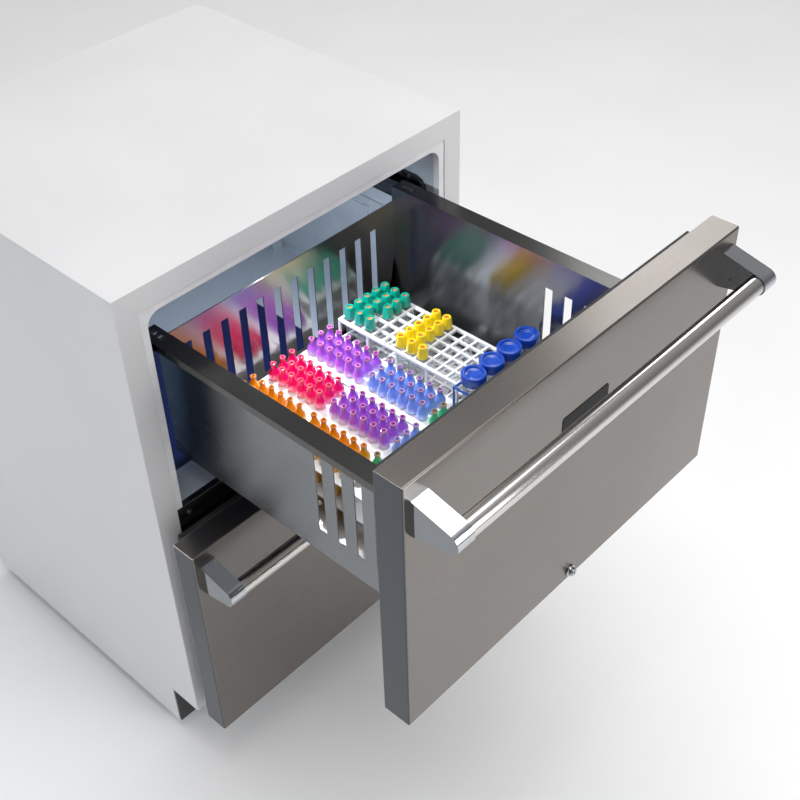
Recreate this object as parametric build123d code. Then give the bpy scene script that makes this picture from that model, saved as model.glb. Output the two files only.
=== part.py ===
from build123d import *
import math
import os

os.makedirs("parts", exist_ok=True)

# ---------------------------------------------------------------------------
# Two-drawer undercounter laboratory refrigerator. Millimetres, +Z up.
# The front faces -Y. Shapes are drawn with y = 0 on the front plane of the
# cabinet's face frame and moved at the end, so that the origin lies on the
# floor under the centre of the whole outline with the upper drawer pulled out.
# ---------------------------------------------------------------------------

# cabinet
CABINET_WIDTH = 600.0
CABINET_HEIGHT = 870.0
CABINET_DEPTH = 560.0
SHEET = 1.5
FACE_SIDE = 33.0
FACE_TOP = 32.5
FACE_RETURN = 14.0
FOLD_RADIUS = 3.0
SILL_Z = 105.0
SILL_HEIGHT = 32.5
SKIRT_Z = 25.0
KICK_RECESS = 60.0

# upper and lower compartments
BREAKER_LAND = 10.5
OPENING_RADIUS = 20.0
MULLION_HEIGHT = 46.0
LINER_WALL = 2.5
LINER_FRONT = 12.0
LINER_BACK = 505.0
MACHINE_HEIGHT = 330.0
MACHINE_FRONT = 330.0
FOAM_STEP = 25.0

# drawer fronts
FRONT_WIDTH = 594.5
FRONT_HEIGHT = 375.5
FRONT_THICK = 38.5
FRONT_TOP_DROP = 3.4
FRONT_PITCH = 379.0
FRONT_GAP = 21.8
FRONT_EDGE = 2.5
FRONT_SKIN = 1.2
PULL_OUT = 382.0
GASKET_WIDTH = 9.0
GASKET_DEPTH = 19.0
GASKET_INSET = 18.1
GASKET_LAP = 9.5

# handles
HANDLE_BAR_RADIUS = 12.0
HANDLE_NOSE_RADIUS = 13.5
HANDLE_REACH = 48.5
HANDLE_CENTRE_DROP = 46.0
HANDLE_FOOT_TOP = 20.5
HANDLE_FOOT_HEIGHT = 49.0
HANDLE_BRACKET_WIDTH = 25.0
HANDLE_OUTER_X = 289.0
HANDLE_BAR_INSERT = 14.0

# display and lock
DISPLAY_WIDTH = 86.0
DISPLAY_HEIGHT = 26.0
DISPLAY_TOP_DROP = 82.0
DISPLAY_DEPTH = 6.0
LOCK_RADIUS = 6.0
LOCK_HEIGHT = 13.0
LOCK_PROUD = 7.0
LOCK_PLUG_RADIUS = 4.0
LOCK_FIT = 0.05
CAM_LENGTH = 15.0
CAM_THICK = 3.0

# drawer box
BOX_INNER_HALF = 214.0
BOX_WALL = 2.0
RAIL_WIDTH = 26.0
RAIL_TOP_DROP = 104.7
RAIL_LIP = 11.0
RAIL_SHEET = 1.2
BOX_WALL_HEIGHT = 211.0
BOX_DEPTH = 458.0
BACK_DROP = 23.3
LOWER_BOX_DEPTH = 318.0
SLOT_WIDTH = 12.5
SLOT_LENGTH = 125.0
SLOT_DROP = 45.0
BACK_SLOT_DROP = 51.8
SIDE_SLOT_PITCH = 32.0
SIDE_SLOT_FIRST = 78.0
SIDE_SLOTS = 4
BACK_SLOT_PITCH = 31.2
BACK_SLOTS = 12

# telescopic slides
SLIDE_GAUGE = 1.3
SLIDE_PLAY = 0.5
SLIDE_REAR = 440.0
LOWER_SLIDE_REAR = 300.0
MID_FRONT = 88.0
BRACKET_FRONT = 35.0
BRACKET_LENGTH = 66.0

# feet
FOOT_RADIUS = 20.0
FOOT_PAD = 10.0
FOOT_STEM_RADIUS = 5.0
FOOT_FIT = 0.08
FOOT_X = 262.0
FOOT_FRONT_Y = 95.0
FOOT_REAR_Y = 525.0

# stored load: vial racks, tube rack and bottle rack
VIAL_PITCH_X = 17.6
VIAL_PITCH_Y = 18.0
VIAL_RADIUS = 6.3
VIAL_HEIGHT = 70.0
VIAL_NECK_RADIUS = 3.0
VIAL_SHOULDER = 13.0
VIAL_NECK_LENGTH = 7.0
VIAL_RACK_HEIGHT = 44.0
VIAL_RACK_SHEET = 2.0
VIAL_COLUMNS = 3
VIAL_BLOCK_ROWS = 6
VIAL_BLOCK_GAP = 27.0
VIAL_RACK_CENTRES = (-115.6, -43.8, 29.2)
FRONT_RACK_CENTRES = (-115.6, -43.8, 18.4)
FRONT_RACK_COLUMNS = (3, 3, 2)
VIAL_RACK_MARGIN = 4.0
VIAL_RACK_SIDE = 9.0
VIAL_FIRST_Y = 22.0
FRONT_RACK_Y = -208.5
TUBE_PITCH_X = 18.0
TUBE_PITCH_Y = 19.7
TUBE_COLUMNS = 5
TUBE_ROWS = 11
TUBE_RADIUS = 6.4
TUBE_CAP_RADIUS = 7.6
TUBE_CAP_HEIGHT = 17.0
TUBE_HEIGHT = 92.0
TUBE_RACK_HEIGHT = 74.0
TUBE_RACK_LEFT = 65.3
TUBE_RACK_BACK_Y = 23.8
TUBE_RACK_BAR = 3.4
BOTTLE_RADIUS = 14.2
BOTTLE_CAP_RADIUS = 17.3
BOTTLE_CAP_HEIGHT = 15.0
BOTTLE_HEIGHT = 106.0
BOTTLE_PITCH = 36.7
BOTTLE_FIRST_X = 67.4
BOTTLE_Y = -225.0
BOTTLE_WIRE = 1.6

# refrigeration
COMPRESSOR_RADIUS = 72.0
COMPRESSOR_HEIGHT = 165.0
CONDENSER_WIDTH = 190.0
CONDENSER_HEIGHT = 200.0
CONDENSER_FINS = 24
EVAP_WIDTH = 210.0
EVAP_HEIGHT = 180.0
EVAP_FINS = 26
COVER_FRONT = 444.0
COVER_SHEET = 2.0
LAMP_LENGTH = 90.0
LAMP_WIDTH = 24.0
LAMP_DEPTH = 9.0
LAMP_Y = 47.0
INLET_X = 240.0
INLET_Z = 62.0
EVAP_FAN_RADIUS = 45.0
COND_FAN_RADIUS = 70.0
FAN_SHAFT_RADIUS = 3.0
FAN_FIT = 0.05

# derived sizes
HALF = CABINET_WIDTH / 2
INNER_HALF = HALF - FACE_SIDE - BREAKER_LAND
UPPER_TOP = CABINET_HEIGHT - FACE_TOP - BREAKER_LAND
UPPER_FRONT_TOP = CABINET_HEIGHT - FRONT_TOP_DROP
UPPER_FRONT_BOTTOM = UPPER_FRONT_TOP - FRONT_HEIGHT
LOWER_FRONT_TOP = UPPER_FRONT_TOP - FRONT_PITCH
MULLION_MID = (UPPER_FRONT_BOTTOM + LOWER_FRONT_TOP) / 2
MULLION_TOP = MULLION_MID + MULLION_HEIGHT / 2
MULLION_BOTTOM = MULLION_MID - MULLION_HEIGHT / 2
LOWER_FLOOR = SILL_Z + SILL_HEIGHT + BREAKER_LAND
CLOSED_FACE_Y = -FRONT_GAP - FRONT_THICK
OPEN_FACE_Y = CLOSED_FACE_Y - PULL_OUT
HANDLE_TIP_Y = OPEN_FACE_Y - HANDLE_REACH - HANDLE_NOSE_RADIUS
ORIGIN_Y = (HANDLE_TIP_Y + CABINET_DEPTH) / 2


def block(x0, x1, y0, y1, z0, z1):
    """A box between two corners."""
    middle = Pos((x0 + x1) / 2, (y0 + y1) / 2, (z0 + z1) / 2)
    return middle * Box(x1 - x0, y1 - y0, z1 - z0)


def rod_z(x, y, z0, z1, radius):
    """A round bar standing along Z."""
    return Pos(x, y, (z0 + z1) / 2) * Cylinder(radius, z1 - z0)


def rod_y(x, z, y0, y1, radius):
    """A round bar lying along Y."""
    return Pos(x, (y0 + y1) / 2, z) * Rot(90, 0, 0) * Cylinder(radius, y1 - y0)


def rod_x(y, z, x0, x1, radius):
    """A round bar lying along X."""
    return Pos((x0 + x1) / 2, y, z) * Rot(0, 90, 0) * Cylinder(radius, x1 - x0)


def prism_x(points, x0, x1):
    """A prism along X with the given (y, z) outline."""
    face = make_face(Polyline([(x0, y, z) for y, z in points], close=True))
    return extrude(face, amount=x1 - x0, dir=(1, 0, 0))


def prism_y(points, y0, y1):
    """A prism along Y with the given (x, z) outline."""
    face = make_face(Polyline([(x, y0, z) for x, z in points], close=True))
    return extrude(face, amount=y1 - y0, dir=(0, 1, 0))


def rounded_y(x0, x1, z0, z1, y0, y1, radius, corners):
    """A prism along Y whose named corners (x sign, z sign) are rounded."""
    body = block(x0, x1, y0, y1, z0, z1)
    for edge in body.edges().filter_by(Axis.Y):
        centre = edge.center()
        right = 1 if centre.X > (x0 + x1) / 2 else -1
        top = 1 if centre.Z > (z0 + z1) / 2 else -1
        if (right, top) in corners:
            near = body.edges().filter_by(Axis.Y).sort_by_distance(centre)[0]
            body = fillet(near, radius)
    return body


def revolve_z(profile, x, y, z):
    """A turned solid on a vertical axis, from an (r, z) outline."""
    face = make_face(Polyline([(r, 0, h) for r, h in profile], close=True))
    return Pos(x, y, z) * revolve(face, Axis.Z)


def save(solids, name):
    """Writes one node, as one solid or as a group of separate solids."""
    if not isinstance(solids, (list, tuple)):
        solids = [solids]
    flat = []
    for solid in solids:
        flat.extend(solid.solids())
    moved = [Pos(0, -ORIGIN_Y, 0) * solid for solid in flat]
    shape = moved[0] if len(moved) == 1 else Compound(children=moved)
    export_step(shape, "parts/" + name + ".step")


# ---------------------------------------------------------------------------
# cabinet shell
# ---------------------------------------------------------------------------

def side_sheet(side):
    """One side wall folded round into its mitred front stile and its inner return."""
    outer = HALF - SHEET
    top = CABINET_HEIGHT - SHEET
    wall = block(outer, HALF, 0, CABINET_DEPTH, SKIRT_Z, top)
    stile = block(HALF - FACE_SIDE, HALF, 0, SHEET, SILL_Z, top)
    lip = block(HALF - FACE_SIDE, HALF - FACE_SIDE + SHEET, 0, FACE_RETURN,
                SILL_Z + SILL_HEIGHT, CABINET_HEIGHT - FACE_TOP)
    sheet = wall + stile + lip
    fold = sheet.edges().filter_by(Axis.Z).sort_by_distance((HALF, 0, CABINET_HEIGHT / 2))[0]
    sheet = fillet(fold, FOLD_RADIUS * 0.45)
    toe = block(0, HALF + 1, -1, KICK_RECESS, SKIRT_Z - 1, SILL_Z)
    inner_x = HALF - FACE_SIDE
    mitre_top = prism_y([(inner_x - 5, CABINET_HEIGHT - FACE_TOP), (inner_x, CABINET_HEIGHT - FACE_TOP),
                         (HALF - SHEET, CABINET_HEIGHT - SHEET), (HALF - SHEET, CABINET_HEIGHT + 1),
                         (inner_x - 5, CABINET_HEIGHT + 1)], -1, SHEET + 0.01)
    mitre_low = prism_y([(inner_x - 5, SILL_Z + SILL_HEIGHT), (inner_x, SILL_Z + SILL_HEIGHT),
                         (HALF - SHEET, SILL_Z), (HALF - SHEET, SILL_Z - 1), (inner_x - 5, SILL_Z - 1)],
                        -1, SHEET + 0.01)
    sheet = sheet - toe - mitre_top - mitre_low
    return sheet if side > 0 else mirror(sheet, Plane.YZ)


def top_sheet():
    """The top folded down into the mitred head rail and its inner return."""
    low = CABINET_HEIGHT - FACE_TOP
    wall = block(-HALF, HALF, 0, CABINET_DEPTH, CABINET_HEIGHT - SHEET, CABINET_HEIGHT)
    for edge in wall.edges().filter_by(Axis.Y).group_by(Axis.Z)[-1]:
        near = wall.edges().filter_by(Axis.Y).sort_by_distance(edge.center())[0]
        wall = fillet(near, SHEET * 0.8)
    inner_x = HALF - FACE_SIDE
    rail = prism_y([(-inner_x, low), (inner_x, low), (HALF - SHEET, CABINET_HEIGHT - SHEET),
                    (-HALF + SHEET, CABINET_HEIGHT - SHEET)], 0, SHEET)
    lip = block(-inner_x, inner_x, SHEET, FACE_RETURN, low, low + SHEET)
    return wall + rail + lip


def sill_sheet():
    """The front sill under the lower drawer, with the bottom sheet behind it."""
    high = SILL_Z + SILL_HEIGHT
    inner_x = HALF - FACE_SIDE
    rail = prism_y([(-HALF + SHEET, SILL_Z), (HALF - SHEET, SILL_Z), (inner_x, high), (-inner_x, high)],
                   0, SHEET)
    lip = block(-inner_x, inner_x, SHEET, FACE_RETURN, high - SHEET, high)
    floor = block(-HALF + SHEET, HALF - SHEET, SHEET, MACHINE_FRONT, SILL_Z, SILL_Z + SHEET)
    return rail + lip + floor


def back_sheet():
    """The rear sheet with louvres over the machine compartment."""
    sheet = block(-HALF + SHEET, HALF - SHEET, CABINET_DEPTH - SHEET, CABINET_DEPTH,
                  SKIRT_Z, CABINET_HEIGHT - SHEET)
    for row in range(9):
        z = SKIRT_Z + 60 + row * 24
        for x in (-140, 60):
            sheet -= block(x, x + 130, CABINET_DEPTH - SHEET - 1, CABINET_DEPTH + 1, z, z + 9)
    sheet -= block(INLET_X - 22, INLET_X + 22, CABINET_DEPTH - SHEET - 1, CABINET_DEPTH + 1,
                   INLET_Z - 12, INLET_Z + 12)
    return sheet


def base_sheet():
    """The base pan that carries the machinery and the levelling feet."""
    pan = block(-HALF + SHEET, HALF - SHEET, KICK_RECESS, CABINET_DEPTH - SHEET,
                SKIRT_Z, SKIRT_Z + 2 * SHEET)
    for x, y in foot_places():
        pan += rod_z(x, y, SKIRT_Z, SKIRT_Z + 14, 12)
        pan -= rod_z(x, y, SKIRT_Z - 1, SKIRT_Z + 40, FOOT_STEM_RADIUS + FOOT_FIT)
    return pan


def foot_places():
    """The four foot positions, as (x, y)."""
    return [(x, y) for y in (FOOT_FRONT_Y, FOOT_REAR_Y) for x in (-FOOT_X, FOOT_X)]


def foot(x, y):
    """One levelling foot: pad, hexagon and threaded stem."""
    pad = revolve_z([(0, 0), (FOOT_RADIUS - 1, 0), (FOOT_RADIUS, 1), (FOOT_RADIUS, 6),
                     (FOOT_RADIUS - 5, FOOT_PAD), (0, FOOT_PAD)], x, y, 0)
    hexagon = Pos(x, y, FOOT_PAD) * extrude(RegularPolygon(9, 6), amount=SKIRT_Z - FOOT_PAD - 6)
    stem = rod_z(x, y, FOOT_PAD, SKIRT_Z + 30, FOOT_STEM_RADIUS)
    return pad + hexagon + stem


def kick_grille():
    """The louvred toe-kick plate under the sill."""
    plate = block(-HALF + SHEET, HALF - SHEET, KICK_RECESS - 2 * SHEET, KICK_RECESS,
                  SKIRT_Z, SILL_Z)
    for row in range(4):
        z = SKIRT_Z + 14 + row * 15
        for column in range(4):
            x = -230 + column * 120
            plate -= block(x, x + 100, KICK_RECESS - 10, KICK_RECESS + 1, z, z + 6)
    return plate


def breaker(z0, z1, corners):
    """The white plastic trim between the face frame and a compartment opening."""
    outer_x = HALF - FACE_SIDE
    low_land = BREAKER_LAND if z0 < MULLION_BOTTOM - 10 else 0
    high_land = BREAKER_LAND if z1 > MULLION_TOP + 10 else 0
    ring = block(-outer_x, outer_x, SHEET, LINER_FRONT, z0, z1)
    hole = rounded_y(-INNER_HALF, INNER_HALF, z0 + low_land - (0 if low_land else 5),
                     z1 - high_land + (0 if high_land else 5), 0, LINER_FRONT + 1,
                     OPENING_RADIUS, corners)
    return ring - hole


def mullion():
    """The black bar between the two drawers, with a stepped lower edge."""
    x = HALF - FACE_SIDE
    bar = block(-x, x, SHEET, LINER_FRONT, MULLION_BOTTOM, MULLION_TOP)
    tongue = block(-INNER_HALF + 4, INNER_HALF - 4, LINER_FRONT, LINER_FRONT + 16,
                   MULLION_BOTTOM + 6, MULLION_TOP - 8)
    return bar + tongue


def mullion_screws():
    """Two pan-head screws that hold the mullion."""
    heads = []
    for x in (-HALF + FACE_SIDE + 18, HALF - FACE_SIDE - 18):
        heads.append(rod_y(x, MULLION_MID + 8, SHEET - 1.4, SHEET, 3.2))
    return heads


def upper_liner():
    """The moulded tub of the upper compartment, open at the front."""
    w = LINER_WALL
    corners = [(-1, 1), (1, 1)]
    outer = rounded_y(-INNER_HALF - w, INNER_HALF + w, MULLION_TOP - w, UPPER_TOP + w,
                      LINER_FRONT, LINER_BACK + w, OPENING_RADIUS + w, corners)
    inner = rounded_y(-INNER_HALF, INNER_HALF, MULLION_TOP, UPPER_TOP,
                      LINER_FRONT - 1, LINER_BACK, OPENING_RADIUS, corners)
    slot = block(-INNER_HALF + 3, INNER_HALF - 3, LINER_FRONT - 1, LINER_FRONT + 17,
                 MULLION_BOTTOM, MULLION_TOP - 7.9)
    return outer - inner - slot


def lower_liner():
    """The moulded tub of the lower compartment, stepped over the machinery."""
    w = LINER_WALL
    hump_y = MACHINE_FRONT - FOAM_STEP
    hump_z = MACHINE_HEIGHT + FOAM_STEP
    outer = block(-INNER_HALF - w, INNER_HALF + w, LINER_FRONT, hump_y + w,
                  LOWER_FLOOR - w, MULLION_BOTTOM + w)
    outer += block(-INNER_HALF - w, INNER_HALF + w, hump_y, LINER_BACK + w,
                   hump_z - w, MULLION_BOTTOM + w)
    inner = block(-INNER_HALF, INNER_HALF, LINER_FRONT - 1, hump_y, LOWER_FLOOR, MULLION_BOTTOM)
    inner += block(-INNER_HALF, INNER_HALF, hump_y - 1, LINER_BACK, hump_z, MULLION_BOTTOM)
    slot = block(-INNER_HALF + 3, INNER_HALF - 3, LINER_FRONT - 1, LINER_FRONT + 17,
                 MULLION_BOTTOM + 5.9, MULLION_TOP)
    return outer - inner - slot


def foam():
    """The foamed-in insulation between the shell and the two tubs."""
    w = LINER_WALL
    body = block(-HALF + SHEET, HALF - SHEET, LINER_FRONT, CABINET_DEPTH - SHEET,
                 SILL_Z + SHEET, CABINET_HEIGHT - SHEET)
    body -= block(-HALF, HALF, MACHINE_FRONT, CABINET_DEPTH + 1, SILL_Z - 1, MACHINE_HEIGHT)
    body -= rounded_y(-INNER_HALF - w, INNER_HALF + w, MULLION_TOP - w, UPPER_TOP + w,
                      0, LINER_BACK + w, OPENING_RADIUS + w, [(-1, 1), (1, 1)])
    body -= block(-INNER_HALF - w, INNER_HALF + w, 0, MACHINE_FRONT - FOAM_STEP + w,
                  LOWER_FLOOR - w, MULLION_BOTTOM + w)
    body -= block(-INNER_HALF - w, INNER_HALF + w, MACHINE_FRONT - FOAM_STEP - 1, LINER_BACK + w,
                  MACHINE_HEIGHT + FOAM_STEP - w, MULLION_BOTTOM + w)
    body -= block(-HALF, HALF, 0, FACE_RETURN + 0.5, 0, LOWER_FLOOR - w)
    body -= block(-HALF, HALF, 0, FACE_RETURN + 0.5, UPPER_TOP + w, CABINET_HEIGHT)
    for side in (-1, 1):
        x = side * (HALF - FACE_SIDE / 2)
        body -= block(x - 20, x + 20, 0, FACE_RETURN + 0.5, 0, CABINET_HEIGHT)
    body -= block(-INNER_HALF, INNER_HALF, 0, LINER_FRONT + 17, MULLION_BOTTOM, MULLION_TOP)
    return body


# ---------------------------------------------------------------------------
# inside the compartments and the machine space
# ---------------------------------------------------------------------------

FAN_X = 120.0
EVAP_Z = MULLION_TOP + 60
COVER_TOP = UPPER_TOP - 40


def evaporator_cover():
    """The moulded air cover in front of the evaporator, with a fan grille."""
    x = BOX_INNER_HALF + 16
    shell = block(-x, x, COVER_FRONT, LINER_BACK, MULLION_TOP, COVER_TOP)
    shell -= block(-x + COVER_SHEET, x - COVER_SHEET, COVER_FRONT + COVER_SHEET, LINER_BACK + 1,
                   MULLION_TOP - 1, COVER_TOP - COVER_SHEET)
    centre_z = EVAP_Z + EVAP_HEIGHT / 2
    for ring in range(4):
        outer = 8 + ring * 10 + 6
        cut = rod_y(FAN_X, centre_z, COVER_FRONT - 1, COVER_FRONT + COVER_SHEET + 1, outer)
        cut -= rod_y(FAN_X, centre_z, COVER_FRONT - 2, COVER_FRONT + COVER_SHEET + 2, outer - 6)
        cut -= block(FAN_X - 60, FAN_X + 60, COVER_FRONT - 2, COVER_FRONT + 4, centre_z - 1.5, centre_z + 1.5)
        cut -= block(FAN_X - 1.5, FAN_X + 1.5, COVER_FRONT - 2, COVER_FRONT + 4, centre_z - 60, centre_z + 60)
        shell -= cut
    for column in range(12):
        sx = -x + 26 + column * 18
        shell -= block(sx, sx + 8, COVER_FRONT - 1, COVER_FRONT + COVER_SHEET + 1,
                       MULLION_TOP + 12, MULLION_TOP + 40)
    return shell


def finned_coil(x0, x1, y0, y1, z0, z1, fins, rows):
    """A heat-exchanger coil: a stack of plates on round tubes."""
    step = (x1 - x0 - 0.8) / (fins - 1)
    stack = [block(x0 + i * step, x0 + i * step + 0.8, y0, y1, z0, z1) for i in range(fins)]
    tubes = []
    for row in range(rows):
        z = z0 + (row + 0.5) * (z1 - z0) / rows
        tubes.append(rod_x((y0 + y1) / 2, z, x0 - 6, x1 + 6, 4.5))
    coil = tubes[0]
    for tube in tubes[1:]:
        coil += tube
    for x in (x0 - 6, x1 + 2):
        coil += block(x, x + 4, (y0 + y1) / 2 - 4, (y0 + y1) / 2 + 4, z0 + 4, z1 - 4)
    for plate in stack:
        coil += plate
    return coil


def fan_rotor(x, z, y0, radius, blades):
    """A fan wheel on a horizontal axis: hub, shaft bore and pitched blades."""
    hub = rod_y(x, z, y0, y0 + 12, radius * 0.3)
    for index in range(blades):
        blade = Pos(0, 0, radius * 0.6) * Rot(0, 0, 32) * Box(radius * 0.42, 1.6, radius * 0.72)
        hub += Pos(x, y0 + 6, z) * Rot(0, 360.0 / blades * index, 0) * blade
    hub -= rod_y(x, z, y0 - 1, y0 + 13, FAN_SHAFT_RADIUS + FAN_FIT)
    return hub


def fan_motor(x, z, y_hub, y_back, radius, arms, post_depth):
    """A fan motor with its shaft reaching forwards; arms lists the angle and reach of its struts."""
    motor = rod_y(x, z, y_hub + 17, y_back, radius)
    motor += rod_y(x, z, y_hub - 3, y_hub + 17, FAN_SHAFT_RADIUS)
    motor += rod_y(x, z, y_hub - 4.5, y_hub - 0.6, FAN_SHAFT_RADIUS + 1.5)
    for angle, reach in arms:
        dx = math.cos(math.radians(angle))
        dz = math.sin(math.radians(angle))
        centre = (radius + reach) / 2 - 2
        strut = Box(reach - radius + 4, post_depth, 6)
        motor += Pos(x + dx * centre, y_back - post_depth / 2, z + dz * centre) * Rot(0, -angle, 0) * strut
    return motor


def wall_duct(side):
    """A moulded air duct on a side wall of the upper compartment.

    The left one has round outlets. The right one is plain, with a raised round pad and two lugs at its foot.
    """
    x0 = INNER_HALF - 8
    duct = block(x0, INNER_HALF, 45, 420, MULLION_TOP + 14, MULLION_TOP + 180)
    duct = chamfer(duct.edges().filter_by(Axis.Y).group_by(Axis.X)[0], 5)
    duct -= block(x0 + 2, INNER_HALF + 1, 49, 416, MULLION_TOP + 18, MULLION_TOP + 176)
    if side > 0:
        pad = rod_x(235, MULLION_TOP + 182, x0 - 2.5, x0 + 1, 100)
        duct += pad & block(x0 - 3, x0 + 2, 60, 410, MULLION_TOP + 22, MULLION_TOP + 172)
        duct += block(x0 - 18, x0 + 1, 350, 354, MULLION_TOP, MULLION_TOP + 22)
        duct += block(x0 - 6, x0 + 1, 354, 402, MULLION_TOP, MULLION_TOP + 16)
        return duct
    for row in range(6):
        for column in range(13):
            y = 62 + column * 27 + (row % 2) * 13.5
            z = MULLION_TOP + 34 + row * 24
            duct -= rod_x(y, z, x0 - 1, x0 + 3, 7.5)
    return mirror(duct, Plane.YZ)


def compressor():
    """A hermetic compressor: domed shell on a mounting plate."""
    r = COMPRESSOR_RADIUS
    h = COMPRESSOR_HEIGHT
    base = SKIRT_Z + 2 * SHEET + 14
    profile = [(0, 0), (r - 14, 0), (r - 4, 8), (r, 22), (r, h - 50), (r - 8, h - 22), (r - 26, h - 6), (0, h)]
    shell = revolve_z(profile, -150, 450, base)
    plate = block(-150 - 88, -150 + 88, 450 - 52, 450 + 52, base - 4, base + 2)
    for dx in (-74, 74):
        for dy in (-38, 38):
            plate += rod_z(-150 + dx, 450 + dy, base - 14, base - 4, 9)
    return shell + plate


COND_X = 62.0
COND_Z = SKIRT_Z + 2 * SHEET + 26


def condenser_shroud():
    """The folded frame that carries the condenser and its fan."""
    low = SKIRT_Z + 2 * SHEET
    high = COND_Z + 190
    frame = block(COND_X - 50, COND_X - 44, 396, 456, low, high)
    frame += block(COND_X + 134, COND_X + 140, 396, 456, low, high)
    frame += block(COND_X - 50, COND_X + 140, 396, 456, high - 6, high)
    return frame


def power_inlet():
    """A moulded appliance inlet let into the rear sheet."""
    y = CABINET_DEPTH - SHEET
    body = block(INLET_X - 25, INLET_X + 25, y - 28, y, INLET_Z - 15, INLET_Z + 15)
    body -= block(INLET_X - 19, INLET_X + 19, y - 20, y + 1, INLET_Z - 9, INLET_Z + 9)
    for x in (INLET_X - 10, INLET_X, INLET_X + 10):
        body += block(x - 1, x + 1, y - 22, y - 5, INLET_Z - 4, INLET_Z + 4)
    return body


def strike():
    """The hook plate on the mullion that the lock's cam turns behind."""
    z = lock_z()
    plate = block(9.5, 34, -7.5, -5.0, z - 10, z + 4)
    web = block(29, 34, -7.5, SHEET, z - 10, z + 4)
    return plate + web


# ---------------------------------------------------------------------------
# slides
# ---------------------------------------------------------------------------

def rail_z(front_top):
    """Height of the top of a drawer's side rails."""
    return front_top + FRONT_TOP_DROP - RAIL_TOP_DROP


def fixed_slide(front_top, rear, side):
    """The cabinet member: an inner track on a shelf that is folded up against the wall."""
    z = rail_z(front_top)
    x0 = BOX_INNER_HALF + 5.6 + 2 * (SLIDE_GAUGE + SLIDE_PLAY)
    x1 = BOX_INNER_HALF + 20.9 - 2 * (SLIDE_GAUGE + SLIDE_PLAY)
    track = block(x0, x1, BRACKET_FRONT, rear, z - 21.8, z - 2.5 - SLIDE_GAUGE - 2 * SLIDE_PLAY)
    shelf = block(x0, INNER_HALF, BRACKET_FRONT, rear, z - 23.3, z - 21.8)
    wall = block(INNER_HALF - SLIDE_GAUGE, INNER_HALF, BRACKET_FRONT, rear, z - 21.8, z - 2)
    slide = track + shelf + wall
    return slide if side > 0 else mirror(slide, Plane.YZ)


def slide_bracket(front_top, side):
    """The front end cover of the cabinet member, with a rounded nose."""
    z = rail_z(front_top)
    points = [(BRACKET_FRONT - 12, z - 23.3), (BRACKET_FRONT + BRACKET_LENGTH, z - 23.3),
              (BRACKET_FRONT + BRACKET_LENGTH, z + 5), (BRACKET_FRONT + 8, z + 5),
              (BRACKET_FRONT - 2, z + 1), (BRACKET_FRONT - 9, z - 8)]
    x0 = INNER_HALF - 6.0
    plate = prism_x(points, x0, INNER_HALF)
    room = block(x0 - 1, INNER_HALF + 1, BRACKET_FRONT, 999, z - 24, z - 2)
    cover = plate - room
    return cover if side > 0 else mirror(cover, Plane.YZ)


def bracket_screws(front_top, side):
    """Two screws through the upper edge of the bracket."""
    z = rail_z(front_top)
    x = INNER_HALF - 6.0
    heads = []
    for y in (BRACKET_FRONT + 19, BRACKET_FRONT + 36):
        heads.append(rod_x(y, z + 1.5, x - 1.8, x, 2.9))
    return [head if side > 0 else mirror(head, Plane.YZ) for head in heads]


def mid_slide(front_top, rear, shift, side):
    """The intermediate member: a channel that runs over the fixed track."""
    z = rail_z(front_top)
    x0 = BOX_INNER_HALF + 5.6 + SLIDE_GAUGE + SLIDE_PLAY
    x1 = BOX_INNER_HALF + 20.9 - SLIDE_GAUGE - SLIDE_PLAY
    y0 = MID_FRONT - shift
    y1 = rear - 50 - shift
    top = z - 2.5 - SLIDE_PLAY
    web = block(x0, x1, y0, y1, top - SLIDE_GAUGE, top)
    inner = block(x0, x0 + SLIDE_GAUGE, y0, y1, z - 18.8, top)
    outer = block(x1 - SLIDE_GAUGE, x1, y0, y1, z - 18.8, top)
    slide = web + inner + outer
    return slide if side > 0 else mirror(slide, Plane.YZ)


def drawer_slide(front_top, y0, y1, side):
    """The drawer member: a channel fixed under the rail of the drawer side."""
    z = rail_z(front_top)
    x0 = BOX_INNER_HALF + 5.6
    x1 = BOX_INNER_HALF + 20.9
    web = block(x0, x1, y0, y1, z - 2.5, z - RAIL_SHEET)
    inner = block(x0, x0 + SLIDE_GAUGE, y0, y1, z - 16.8, z - RAIL_SHEET)
    outer = block(x1 - SLIDE_GAUGE, x1, y0, y1, z - 16.8, z - RAIL_SHEET)
    slide = web + inner + outer
    return slide if side > 0 else mirror(slide, Plane.YZ)


# ---------------------------------------------------------------------------
# drawers; y_face is the front face of the drawer front
# ---------------------------------------------------------------------------

def front_skin(front_top, y_face):
    """The folded stainless wrap of a drawer front, open at the back."""
    x = FRONT_WIDTH / 2
    z0 = front_top - FRONT_HEIGHT
    back = y_face + FRONT_THICK
    outer = block(-x, x, y_face, back, z0, front_top)
    outer = fillet(outer.edges().group_by(Axis.Y)[0], FRONT_EDGE)
    inner = block(-x + FRONT_SKIN, x - FRONT_SKIN, y_face + FRONT_SKIN, back + 1,
                  z0 + FRONT_SKIN, front_top - FRONT_SKIN)
    return outer - inner


def front_core(front_top, y_face):
    """The foam filling of a drawer front."""
    x = FRONT_WIDTH / 2 - FRONT_SKIN
    z0 = front_top - FRONT_HEIGHT + FRONT_SKIN
    return block(-x, x, y_face + FRONT_SKIN, y_face + FRONT_THICK - 2, z0, front_top - FRONT_SKIN)


def inner_panel(front_top, y_face):
    """The pressed panel that closes the back of a drawer front."""
    x = FRONT_WIDTH / 2 - FRONT_SKIN
    z0 = front_top - FRONT_HEIGHT + FRONT_SKIN
    y = y_face + FRONT_THICK
    return block(-x, x, y - 2, y, z0, front_top - FRONT_SKIN)


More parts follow.
